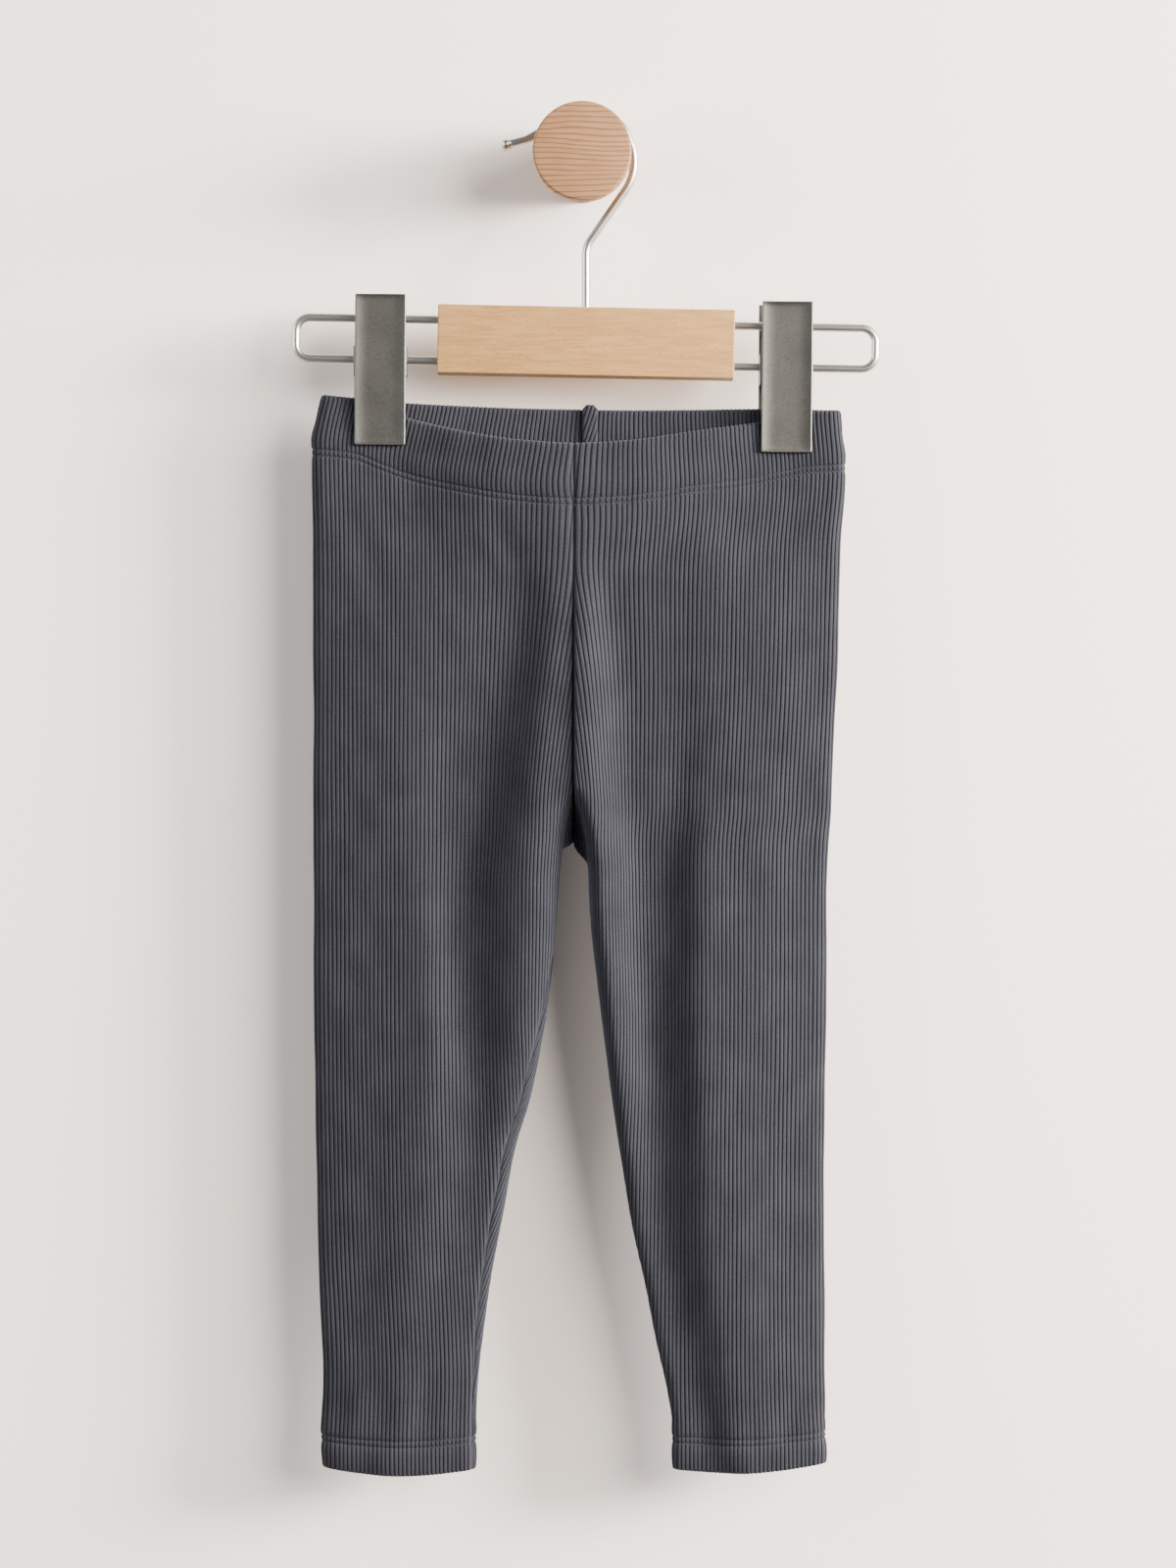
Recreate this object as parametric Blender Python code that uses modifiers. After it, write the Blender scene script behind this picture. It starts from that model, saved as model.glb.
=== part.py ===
"""Rib-knit leggings, hung by two clips from a wire and wood hanger on a round wall peg.

Lengths are in millimetres here and become metres when a mesh is made.  +Z is up, the garment's
front faces -Y and the wall is the plane y = 0.  The origin is the centre of the peg's back face.
"Right" and "left" are the wearer's, so the right leg lies on the -X side.

The cloth hangs about one upright plane.  A section of a leg is worked out at a height from that
plane: it starts at the side fold, runs over the front and its folds to the middle or inner seam,
and again from the side fold over the back.  Depths are forward of the hanging plane.
"""
import math

import bmesh
import bpy
from mathutils import Vector

MM = 0.001

# ---------------------------------------------------------------- driving sizes
HANG_Y = -28.0           # plane in which the hanger and the cloth hang
SEAM_GAP = 0.3           # gap between two pieces of cloth at a seam
CLOTH = 1.6              # wall of one layer of the rib knit
CASING = 3.0             # wall of the waist casing: two layers and an elastic
HEM = 2.6                # wall of the turned-up hem: two layers
FRONT_SEAM_X = -3.8      # front middle seam
BACK_SEAM_X = 0.2        # back middle seam
SIDE_FOLD = 2.5          # radius of the folded side edge of a leg
WAIST_FOLD = 3.8         # radius of the side edge of the waist casing
CASING_DEPTH = 26.5      # height of the waist casing
WAIST_SEAM_Z = -139.3    # waist seam at x = 0, before it sags
WAIST_SLOPE = -0.030     # the waist leans with the hanger: rise for each unit of +X
SAG_FADES_Z = -300.0     # the sag of the waist has died out at this height
WAIST_FADES_Z = -205.0   # the pinched shape of the waist has died out at this height
HEM_SEAM_Z = -587.0      # line where the turned-up hem begins
HEM_EDGE_Z = -601.8      # bottom edge of the legs
HEM_BOW_FROM_Z = -560.0  # the hem's edge bows; the bow begins here

# Waist between the side edges: how far the front sags, and how far front and back stand off
# the hanging plane.  The clips pinch both layers at x = -92 and x = 94.
WAIST_COLUMNS = ("x", "sag", "back_sag", "front", "back")
WAIST_ROWS = (
    (-124, 0.0, 0.0, 4.0, 4.0),
    (-105, 1.5, 0.8, 3.8, 3.8),
    (-92, 6.0, 2.0, 3.6, 3.6),
    (-80, 10.0, 2.6, 4.0, 4.0),
    (-54, 15.5, 3.0, 8.6, 5.8),
    (-30, 18.8, 3.2, 11.6, 6.4),
    (-8, 19.8, 3.0, 12.8, 6.6),
    (20, 17.8, 2.6, 11.8, 6.4),
    (54, 11.8, 1.4, 8.4, 5.8),
    (81, 7.0, 0.4, 4.0, 4.0),
    (94, 3.8, 0.2, 3.6, 3.6),
    (106, 1.2, 0.0, 3.8, 3.8),
    (122, 0.0, 0.0, 4.0, 4.0),
)

# Outline of each leg seen from the front: side edge and inner edge.
OUTLINE_COLUMNS = ("z", "outer", "inner")
RIGHT_OUTLINE = (
    (-112, -119.4, -5.4),
    (-136, -123.8, -5.4),
    (-200, -123.3, -5.4),
    (-288, -123.3, -5.4),
    (-300, -123.2, -6.6),
    (-315, -123.1, -9.0),
    (-334, -123.1, -10.9),
    (-360, -122.9, -12.8),
    (-387, -122.9, -15.8),
    (-409, -122.7, -19.4),
    (-430, -122.4, -23.9),
    (-455, -122.0, -31.0),
    (-481, -121.5, -36.0),
    (-508, -120.7, -41.0),
    (-535, -119.5, -45.2),
    (-560, -118.8, -47.9),
    (-580, -119.2, -49.0),
    (-603, -119.2, -48.8),
)
LEFT_OUTLINE = (
    (-116, 118.8, -2.2),
    (-142, 120.6, -2.2),
    (-175, 118.5, -2.2),
    (-240, 116.8, -2.2),
    (-288, 114.6, -2.2),
    (-300, 114.1, -0.8),
    (-315, 112.8, 1.9),
    (-325, 112.4, 3.0),
    (-345, 112.1, 3.9),
    (-374, 112.0, 6.8),
    (-409, 111.7, 11.0),
    (-442, 111.2, 15.4),
    (-467, 111.0, 19.3),
    (-492, 111.0, 23.4),
    (-518, 111.0, 29.2),
    (-543, 111.1, 34.0),
    (-566, 111.4, 39.2),
    (-580, 111.7, 41.3),
    (-603, 111.7, 41.6),
)

# Folds of each leg's front, and the fullness of its back.  Places are shares of the width, from the
# side edge (0) to the inner edge (1): a broad swell, a trough from dip_at to foot_at, and the ridge
# that runs down from the crotch close to the inner edge.
FOLD_COLUMNS = ("z", "swell_at", "swell", "dip_at", "dip", "foot_at", "crest_at", "crest", "back")
RIGHT_FOLDS = (
    (-136, 0.45, 8.0, 0.80, 8.6, 0.84, 0.950, 11.5, 6.5),
    (-190, 0.40, 7.6, 0.74, 6.8, 0.80, 0.945, 11.6, 8.0),
    (-243, 0.38, 7.2, 0.66, 5.2, 0.72, 0.920, 13.4, 9.5),
    (-288, 0.38, 7.4, 0.58, 4.4, 0.64, 0.895, 14.6, 9.5),
    (-333, 0.44, 8.8, 0.58, 4.8, 0.61, 0.880, 15.0, 8.5),
    (-378, 0.48, 9.8, 0.60, 4.8, 0.63, 0.875, 13.4, 8.0),
    (-423, 0.52, 10.4, 0.70, 5.4, 0.73, 0.915, 9.8, 8.0),
    (-468, 0.54, 9.4, 0.78, 6.4, 0.80, 0.910, 7.4, 7.6),
    (-513, 0.52, 8.6, 0.76, 7.0, 0.80, 0.905, 6.2, 7.2),
    (-560, 0.50, 7.8, 0.76, 6.8, 0.80, 0.900, 5.4, 6.6),
    (-603, 0.50, 7.4, 0.76, 6.4, 0.80, 0.900, 5.0, 6.0),
)
LEFT_FOLDS = (
    (-136, 0.45, 8.2, 0.80, 8.6, 0.86, 0.965, 11.9, 6.5),
    (-165, 0.45, 8.2, 0.78, 7.4, 0.89, 0.970, 12.6, 7.2),
    (-190, 0.44, 8.2, 0.72, 6.6, 0.88, 0.965, 13.4, 8.0),
    (-243, 0.44, 8.2, 0.64, 5.8, 0.83, 0.960, 15.8, 9.5),
    (-288, 0.47, 8.8, 0.66, 5.0, 0.80, 0.955, 17.2, 9.5),
    (-333, 0.52, 10.4, 0.69, 4.6, 0.79, 0.950, 17.0, 8.5),
    (-378, 0.54, 11.4, 0.73, 4.4, 0.79, 0.945, 15.2, 8.0),
    (-423, 0.56, 11.8, 0.77, 4.2, 0.81, 0.950, 12.0, 8.0),
    (-468, 0.58, 11.6, 0.82, 4.0, 0.84, 0.945, 6.6, 7.6),
    (-513, 0.60, 10.6, 0.86, 4.2, 0.88, 0.945, 4.8, 7.2),
    (-560, 0.56, 9.2, 0.84, 4.6, 0.87, 0.940, 4.6, 6.6),
    (-603, 0.50, 8.6, 0.82, 4.8, 0.86, 0.935, 4.6, 6.0),
)

# Where the panels are joined in the middle.  Above the crotch the front and back edges of a panel
# are apart, and they meet at the crotch point; below it they close the inseam.  The ridge's inner
# wall and the front edge are shares of the ridge's height, the back edge of the back's fullness.
CROTCH_Z = -315.0
MIDDLE_COLUMNS = ("z", "wall", "front_end", "back_end")
MIDDLE_ROWS = (
    (-136, 0.99, 0.98, 1.00),
    (-288, 0.98, 0.96, 1.00),
    (-294, 0.80, 0.66, 1.00),
    (-302, 0.50, 0.28, 0.94),
    (-309, 0.36, 0.10, 0.55),
    (-315, 0.30, 0.02, 0.02),
    (-320, 0.28, 0.01, -0.01),
    (-603, 0.28, 0.01, -0.01),
)

# Heights at which a leg's rings are taken, closer together round the crotch.
LEG_RINGS = (
    -139.3, -152, -170, -192, -216, -242, -266, -284, -291, -297, -303, -309, CROTCH_Z,
    -317, -321, -328, -338, -356, -378, -402, -428, -456, -486, -518, -552, -574, -586.7,
)
HEM_RINGS = (-587.0, -592.0, -597.5, HEM_EDGE_Z)
CASING_RINGS = (0.0, 4.0, 13.0, 22.5, 26.5)      # heights above the waist seam

# ---------------------------------------------------------------- hanger and peg
HANGER_TILT = math.radians(1.15)     # the hanger's +X end hangs lower
BLOCK_CENTRE = (1.8, -85.2)
BLOCK_SIZE = (136.0, 14.0, 31.4)
WIRE_D = 3.8
FRAME_HALF = 133.1                   # half length of the wire frame, on its centre line
FRAME_RISE = 9.4                     # each rail lies this far above or below the frame's middle
FRAME_CENTRE = (1.6, -85.4)
FRAME_CORNER = 6.5
RAIL_IN_BLOCK = 12.0
HOOK_SHANK_X = 1.7
CLIP_X = (-92.4, 93.8)               # the right and the left clip
CLIP_PLATE = (23.2, 1.4, 69.0)
CLIP_TOP_Z = (-63.6, -67.0)
CLIP_GRIP = 4.6                      # inner faces of the plates, off the hanging plane, at the cloth
CLIP_SPREAD = 7.4                    # and at the plates' upper ends
PEG_STEM_D = 34.0
PEG_DISC_D = 45.0
PEG_DISC_T = 11.0
PEG_LENGTH = 50.0


# ---------------------------------------------------------------- small helpers
def smooth(t):
    """Ease from 0 to 1 with level ends."""
    t = min(1.0, max(0.0, t))
    return t * t * (3.0 - 2.0 * t)


def mix(a, b, t):
    return a + (b - a) * t


def row_at(rows, columns, key):
    """Read a table between its rows, with a smooth curve through them, as a dict of columns."""
    keys = [row[0] for row in rows]
    step = 1 if keys[-1] > keys[0] else -1
    key = min(max(key * step, keys[0] * step), keys[-1] * step) * step
    last = len(rows) - 2
    i = next((n for n in range(len(rows) - 1) if (keys[n + 1] - key) * step > 0), last)
    span = keys[i + 1] - keys[i]
    t = (key - keys[i]) / span
    out = {columns[0]: key}
    for c in range(1, len(columns)):
        a, b = rows[i][c], rows[i + 1][c]
        before, after = rows[max(i - 1, 0)], rows[min(i + 2, len(rows) - 1)]
        slope_a = limited_slope(before, rows[i], rows[i + 1], c) * span
        slope_b = limited_slope(rows[i], rows[i + 1], after, c) * span
        h00 = (1 + 2 * t) * (1 - t) ** 2
        out[columns[c]] = (h00 * a + t * (1 - t) ** 2 * slope_a
                           + (1 - h00) * b + t * t * (t - 1) * slope_b)
    return out


def limited_slope(before, here, after, c):
    """Slope of column c at a row; level at a peak, so that the curve never overshoots."""
    left = (here[c] - before[c]) / (here[0] - before[0]) if here is not before else None
    right = (after[c] - here[c]) / (after[0] - here[0]) if after is not here else None
    if left is None or right is None:
        return left if right is None else right
    if left * right <= 0:
        return 0.0
    return 2.0 * left * right / (left + right)


def spread(start, end, count):
    """Count evenly spaced numbers after start, up to end."""
    return [mix(start, end, (n + 1) / count) for n in range(count)]


# ---------------------------------------------------------------- sections of the cloth
class Leg:
    """One leg: its side of the body (-1 right, 1 left), its tables, the height over which its inner
    edge leaves the crotch, and how its hem's edge bows down and lifts towards the side."""

    def __init__(self, side, outline, folds, parting, hem_bow, hem_lift):
        self.side = side
        self.outline = outline
        self.folds = folds
        self.parting = parting
        self.hem_bow = hem_bow
        self.hem_lift = hem_lift

    def apart(self, z):
        """1 where the panel's edges lie on the middle seams, 0 where they close the inseam."""
        return 1.0 - smooth((CROTCH_Z - z) / self.parting)

    def hem_shift(self, x, z):
        """How far the cloth near the hem is moved down or up from its level ring."""
        line = row_at(self.outline, OUTLINE_COLUMNS, z)
        u = (line["outer"] - x) / (line["outer"] - line["inner"])
        reach = smooth((HEM_BOW_FROM_Z - z) / (HEM_BOW_FROM_Z - HEM_EDGE_Z))
        return (self.hem_lift * (1.0 - u) ** 2 - self.hem_bow * math.sin(math.pi * u)) * reach


RIGHT = Leg(-1, RIGHT_OUTLINE, RIGHT_FOLDS, parting=3.5, hem_bow=3.0, hem_lift=0.8)
LEFT = Leg(1, LEFT_OUTLINE, LEFT_FOLDS, parting=11.0, hem_bow=2.0, hem_lift=2.6)


def waist_pinch(z):
    """1 at the waist, 0 where the legs' own folds have taken over."""
    return 1.0 - smooth((WAIST_SEAM_Z - z) / (WAIST_SEAM_Z - WAIST_FADES_Z))


def front_depth(u, x, fold, pinch, folds_edge):
    """Depth of the front at share u of the width, from the side edge's roll to the ridge."""
    swell_at, dip_at, foot_at = fold["swell_at"], fold["dip_at"], fold["foot_at"]
    if u < swell_at:
        share = u / swell_at
        depth = mix(folds_edge, fold["swell"], 0.5 * share + 0.5 * math.sin(0.5 * math.pi * share))
    elif u < dip_at:
        depth = mix(fold["swell"], fold["dip"], smooth((u - swell_at) / (dip_at - swell_at)))
    else:
        rise = smooth((u - foot_at) / (fold["crest_at"] - foot_at))
        depth = mix(fold["dip"], fold["crest"], rise)
    waist = row_at(WAIST_ROWS, WAIST_COLUMNS, x)["front"]
    return mix(depth, waist, pinch)


def back_depth(u, x, fold, pinch, fold_edge):
    """Depth of the back, as a positive number behind the hanging plane."""
    depth = mix(fold_edge, fold["back"], math.sin(0.5 * math.pi * min(1.0, u / 0.55)))
    waist = row_at(WAIST_ROWS, WAIST_COLUMNS, x)["back"]
    return mix(depth, waist, pinch)


def section(leg, z, counts, fold_radius=SIDE_FOLD):
    """Front and back halves of a leg's section at height z: (x, depth) from side fold to seam.

    counts holds how many steps each stretch takes: the side roll, the broad front, the ridge's
    inner flank and the lip at the seam."""
    roll, broad, flank, lip = counts
    side = leg.side
    line = row_at(leg.outline, OUTLINE_COLUMNS, z)
    fold = row_at(leg.folds, FOLD_COLUMNS, z)
    middle = row_at(MIDDLE_ROWS, MIDDLE_COLUMNS, z)
    pinch = waist_pinch(z)
    outer, inner = line["outer"], line["inner"]
    width = abs(outer - inner)

    def x_at(u):
        return outer - side * u * width

    start = fold_radius / width
    crest_u = fold["crest_at"]
    arc = spread(0.0, 0.5 * math.pi, roll)
    front = [(outer, 0.0)]
    front += [(outer - side * fold_radius * (1 - math.cos(a)), fold_radius * math.sin(a)) for a in arc]
    for u in spread(start, crest_u, broad):
        front.append((x_at(u), front_depth(u, x_at(u), fold, pinch, fold_radius)))
    crest_x, crest = front[-1]
    wall = middle["wall"] * crest
    for a in spread(0.0, 0.5 * math.pi, flank):
        front.append((mix(crest_x, inner, math.sin(a)), mix(wall, crest, math.cos(a))))
    front_seam = mix(inner, FRONT_SEAM_X + side * SEAM_GAP / 2, leg.apart(z))
    front_end = middle["front_end"] * crest + SEAM_GAP / 2
    for t in spread(0.0, 1.0, lip):
        front.append((mix(inner, front_seam, smooth(t)), mix(wall, front_end, t)))

    back = [(outer, 0.0)]
    back += [(outer - side * fold_radius * (1 - math.cos(a)), -fold_radius * math.sin(a)) for a in arc]
    seam_x = mix(FRONT_SEAM_X, BACK_SEAM_X, middle["back_end"]) + side * SEAM_GAP / 2
    seam_x = mix(inner, seam_x, leg.apart(z))
    fullness = back_depth(1.0, seam_x, fold, pinch, fold_radius)
    turn_x = seam_x + side * (2.0 + 0.9 * fullness * (1.0 - max(0.0, middle["back_end"])))
    turn_u = (outer - turn_x) / (side * width)
    for u in spread(start, turn_u, broad):
        back.append((x_at(u), -back_depth(u, x_at(u), fold, pinch, fold_radius)))
    turn_depth = back[-1][1]
    back_end = -fullness * middle["back_end"] - SEAM_GAP / 2 * (1.0 - middle["back_end"])
    for a in spread(0.0, 0.5 * math.pi, flank + lip):
        back.append((mix(turn_x, seam_x, math.sin(a)), mix(back_end, turn_depth, math.cos(a))))
    return front, back


def sag(x, z, is_front):
    """How far the cloth at x has dropped with the sagging waist, and with the hanger's lean."""
    fade = 1.0 - smooth((WAIST_SEAM_Z - z) / (WAIST_SEAM_Z - SAG_FADES_Z))
    drop = row_at(WAIST_ROWS, WAIST_COLUMNS, x)["sag" if is_front else "back_sag"]
    return (WAIST_SLOPE * x - drop) * fade


def ring(leg, z, counts, stand_off=0.0, fold_radius=SIDE_FOLD):
    """A ring of points from the front seam round the side to the back seam.

    stand_off moves it off the surface."""
    front, back = section(leg, z, counts, fold_radius)
    points = []
    for is_front, half in ((True, front[::-1]), (False, back[1:])):
        for x, depth in half:
            out = stand_off if depth >= 0 else -stand_off
            height = z + sag(x, z, is_front if abs(depth) > 0.01 else True) + leg.hem_shift(x, z)
            points.append(Vector((x, HANG_Y - depth - out, height)))
    return points


def cloth(name, rings, wall, material):
    """A panel of cloth through rings of points, given its wall inwards."""
    mesh = bpy.data.meshes.new(name)
    across = len(rings[0])
    points = [p * MM for row in rings for p in row]
    faces = []
    for r in range(len(rings) - 1):
        for c in range(across - 1):
            a = r * across + c
            faces.append((a, a + 1, a + across + 1, a + across))
    mesh.from_pydata(points, [], faces)
    panel = add_object(name, mesh, material)
    face_outwards(mesh)
    thick = panel.modifiers.new("wall", "SOLIDIFY")
    thick.thickness = wall * MM
    thick.offset = -1.0
    thick.use_even_offset = True
    thick.use_rim = True
    mesh.shade_smooth()
    return panel


def face_outwards(mesh):
    """Turn the faces so that the front of the cloth looks towards -Y."""
    front = max(mesh.polygons, key=lambda face: -face.center.y)
    if front.normal.y > 0:
        mesh.flip_normals()


# ---------------------------------------------------------------- materials and collections
def finish(name, colour, roughness, metallic=0.0):
    material = bpy.data.materials.new(name)
    material.use_nodes = True
    shader = material.node_tree.nodes["Principled BSDF"]
    shader.inputs["Base Color"].default_value = (*colour, 1.0)
    shader.inputs["Roughness"].default_value = roughness
    shader.inputs["Metallic"].default_value = metallic
    material.diffuse_color = (*colour, 1.0)
    return material


def collection(name):
    made = bpy.data.collections.new(name)
    bpy.context.scene.collection.children.link(made)
    return made


def add_object(name, mesh, material=None, group=None):
    made = bpy.data.objects.new(name, mesh)
    (group or PARTS).objects.link(made)
    if material:
        mesh.materials.append(material)
    return made


def adopt(name, material, group=None):
    """Name the object that an operator has just added, and move it to its collection."""
    made = bpy.context.object
    made.name = name
    made.data.name = name
    for old in list(made.users_collection):
        old.objects.unlink(made)
    (group or PARTS).objects.link(made)
    if material:
        made.data.materials.append(material)
    return made


# ---------------------------------------------------------------- hanger helpers
def lean(x, z):
    """A place on the level hanger, turned with the hanger about the frame's middle."""
    cx, cz = FRAME_CENTRE
    dx, dz = x - cx, z - cz
    c, s = math.cos(HANGER_TILT), math.sin(HANGER_TILT)
    return cx + dx * c + dz * s, cz - dx * s + dz * c


def rounded_route(corners, steps=6):
    """Points along straight runs joined by arcs; a corner is (x, z, radius)."""
    points = [Vector(corners[0][:2])]
    for before, here, after in zip(corners, corners[1:], corners[2:]):
        p = Vector(here[:2])
        back = (Vector(before[:2]) - p).normalized()
        on = (Vector(after[:2]) - p).normalized()
        half = 0.5 * back.angle(on)
        reach = here[2] / math.tan(half)
        centre = p + (back + on).normalized() * (here[2] / math.sin(half))
        first, final = p + back * reach - centre, p + on * reach - centre
        sweep = first.angle_signed(final)
        for n in range(steps + 1):
            turn = -sweep * n / steps
            c, s = math.cos(turn), math.sin(turn)
            points.append(centre + Vector((first.x * c - first.y * s, first.x * s + first.y * c)))
    points.append(Vector(corners[-1][:2]))
    return points


def wire(name, points, diameter, material, tilted=True):
    """A round wire along (x, z) points in the hanging plane."""
    curve = bpy.data.curves.new(name, "CURVE")
    curve.dimensions = "3D"
    spline = curve.splines.new("POLY")
    spline.points.add(len(points) - 1)
    for slot, (x, z) in zip(spline.points, points):
        place = lean(x, z) if tilted else (x, z)
        slot.co = (place[0] * MM, HANG_Y * MM, place[1] * MM, 1.0)
    curve.bevel_depth = diameter * MM / 2
    curve.bevel_resolution = 2
    curve.use_fill_caps = True
    return add_object(name, curve, material)


def box(name, centre, size, material, turn=(0, 0, 0), bevel=0.0, group=None):
    """A box of (x, y, z) size with rounded edges, its size held in its mesh."""
    bpy.ops.mesh.primitive_cube_add(size=1.0)
    made = adopt(name, material, group)
    for vertex in made.data.vertices:
        vertex.co = Vector([c * s * MM for c, s in zip(vertex.co, size)])
    made.location = Vector(centre) * MM
    made.rotation_euler = turn
    if bevel:
        edge = made.modifiers.new("rounded edges", "BEVEL")
        edge.width = bevel * MM
        edge.segments = 2
    return made


def rod(name, centre, diameter, length, turn, group=None, material=None, sides=24):
    bpy.ops.mesh.primitive_cylinder_add(vertices=sides, radius=diameter * MM / 2, depth=length * MM)
    made = adopt(name, material, group)
    made.location = Vector(centre) * MM
    made.rotation_euler = turn
    return made


def turned(name, profile, place, turn, material, steps=32):
    """A turned piece from (radius, height) points, top to bottom."""
    mesh = bpy.data.meshes.new(name)
    points = [(radius * MM, 0.0, height * MM) for radius, height in profile]
    mesh.from_pydata(points, [(n, n + 1) for n in range(len(points) - 1)], [])
    made = add_object(name, mesh, material)
    screw = made.modifiers.new("turned", "SCREW")
    screw.axis = "Z"
    screw.steps = steps
    screw.render_steps = steps
    screw.use_merge_vertices = True
    screw.merge_threshold = 0.00001
    made.location = Vector(place) * MM
    made.rotation_euler = turn
    return made


def cut(target, cutter):
    cutter.hide_render = True
    cutter.display_type = "WIRE"
    hole = target.modifiers.new(cutter.name, "BOOLEAN")
    hole.object = cutter
    hole.operation = "DIFFERENCE"
    hole.solver = "EXACT"


# ---------------------------------------------------------------- the garment
LEG_COUNTS = (3, 11, 3, 2)       # steps in the side roll, broad front, ridge's flank and seam lip


def make_leg(name, leg, material):
    rings = [ring(leg, z, LEG_COUNTS) for z in LEG_RINGS]
    return cloth(name, rings, CLOTH, material)


def make_hem(name, leg, material):
    """The doubled band below the hem line, a little proud of the leg above it."""
    rings = [ring(leg, z, LEG_COUNTS, stand_off=0.3, fold_radius=SIDE_FOLD + 0.9) for z in HEM_RINGS]
    return cloth(name, rings, HEM, material)


def make_casing(name, leg, material):
    """Half of the waist casing, from the waist seam up; its side edge leans in with the outline."""
    rings = []
    for rise in CASING_RINGS:
        z = WAIST_SEAM_Z + SEAM_GAP + rise
        nominal = section(leg, z, LEG_COUNTS, WAIST_FOLD)
        points = []
        for is_front, half in ((True, nominal[0][::-1]), (False, nominal[1][1:])):
            for x, depth in half:
                height = z + sag(x, WAIST_SEAM_Z, is_front if abs(depth) > 0.01 else True)
                points.append(Vector((x, HANG_Y - depth, height)))
        rings.append(points)
    return cloth(name, rings, CASING, material)


def make_seam_turning(material):
    """The turning of the back middle seam, laid flat against the inside of the waist casing."""
    wide, thick, high = 7.2, 1.2, CASING_DEPTH
    inside = HANG_Y + 6.5 - CASING - SEAM_GAP - thick / 2
    bottom = WAIST_SEAM_Z - 3.0 + 1.6
    centre = (BACK_SEAM_X + wide / 2 + 0.2, inside, bottom + high / 2)
    return box("back_seam_turning", centre, (wide, thick, high), material, bevel=0.4)


# ---------------------------------------------------------------- the hanger and the peg
def make_block(material):
    x, z = BLOCK_CENTRE
    block = box("hanger_block", (x, HANG_Y, z), BLOCK_SIZE, material, (0, HANGER_TILT, 0), bevel=0.8)
    along = (0, math.pi / 2 + HANGER_TILT, 0)
    half = BLOCK_SIZE[0] / 2
    for side in (-1, 1):
        for rise in (-FRAME_RISE, FRAME_RISE):
            mouth = lean(FRAME_CENTRE[0] + side * half, FRAME_CENTRE[1] + rise)
            bore = rod(f"rail_bore_{side}_{rise:.0f}", (mouth[0], HANG_Y, mouth[1]),
                       WIRE_D + 2 * SEAM_GAP, 2 * RAIL_IN_BLOCK + 2, along, CUTTERS)
            cut(block, bore)
    shank = rod("shank_bore", (HOOK_SHANK_X, HANG_Y, z + BLOCK_SIZE[2] / 2),
                WIRE_D + 2 * SEAM_GAP, 26.0, (0, 0, 0), CUTTERS)
    cut(block, shank)
    return block


def make_frame(name, side, material):
    """One U-shaped end of the wire frame, its two rails let into the block."""
    cx, cz = FRAME_CENTRE
    root = cx + side * (BLOCK_SIZE[0] / 2 - RAIL_IN_BLOCK)
    end = cx + side * FRAME_HALF
    corners = (
        (root, cz + FRAME_RISE, 0),
        (end, cz + FRAME_RISE, FRAME_CORNER),
        (end, cz - FRAME_RISE, FRAME_CORNER),
        (root, cz - FRAME_RISE, 0),
    )
    return wire(name, rounded_route(corners), WIRE_D, material)


def hook_route():
    """The hook: up the shank, out to one side, over the peg's stem and down to its turned-out end."""
    over = PEG_STEM_D / 2 + SEAM_GAP + WIRE_D / 2
    return (
        (HOOK_SHANK_X, -80.0, 0),
        (HOOK_SHANK_X, -41.2, 12),
        (27.0, -5.0, 24),
        (17.0, over, 14),
        (-6.0, over, 18),
        (-25.6, 8.2, 9),
        (-32.5, 6.4, 0),
    )


def make_hook(material):
    hook = wire("hook_wire", rounded_route(hook_route()), WIRE_D, material, tilted=False)
    end, start = Vector(hook_route()[-1][:2]), Vector(hook_route()[-2][:2])
    away = (end - start).normalized()
    place = end + away * SEAM_GAP
    profile = [(0.0, 4.4), (1.3, 4.2), (2.3, 3.5), (2.7, 2.4), (2.5, 1.2), (2.0, 0.5),
               (2.0, 0.0), (0.0, 0.0)]
    lay = (0, math.atan2(away.x, away.y), 0)
    turned("hook_tip", profile, (place.x, HANG_Y, place.y), lay, material, steps=24)
    return hook


def make_clip(name, x, top, material):
    """A clip: two plates that pinch the cloth and spread upwards, and a bracket on the lower rail."""
    wide, thick, high = CLIP_PLATE
    spread_angle = math.atan2(CLIP_SPREAD - CLIP_GRIP, high)
    for face, side in (("front", -1), ("back", 1)):
        middle = HANG_Y + side * ((CLIP_GRIP + CLIP_SPREAD) / 2 + thick / 2)
        offset = 0.0 if side < 0 else -1.0
        centre = (x + offset, middle, top - high / 2)
        turn = (side * -spread_angle, HANGER_TILT * 0.4, 0)
        box(f"{name}_{face}", centre, CLIP_PLATE, material, turn, bevel=0.5)
    rail_x, rail_z = lean(x, FRAME_CENTRE[1] - FRAME_RISE)
    wide += 1.2
    size = (wide, 9.4, 14.0)
    bracket = box(f"{name}_bracket", (rail_x, HANG_Y, rail_z - 1.0), size, material, bevel=0.3)
    room = box(f"{name}_room", (rail_x, HANG_Y + 2.0, rail_z - 1.0), (wide - 2.0, 12.0, 20.0),
               None, group=CUTTERS)
    cut(bracket, room)
    bore = rod(f"{name}_bore", (rail_x, HANG_Y, rail_z), WIRE_D + 2 * SEAM_GAP, wide + 6,
               (0, math.pi / 2 + HANGER_TILT, 0), CUTTERS)
    cut(bracket, bore)


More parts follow.
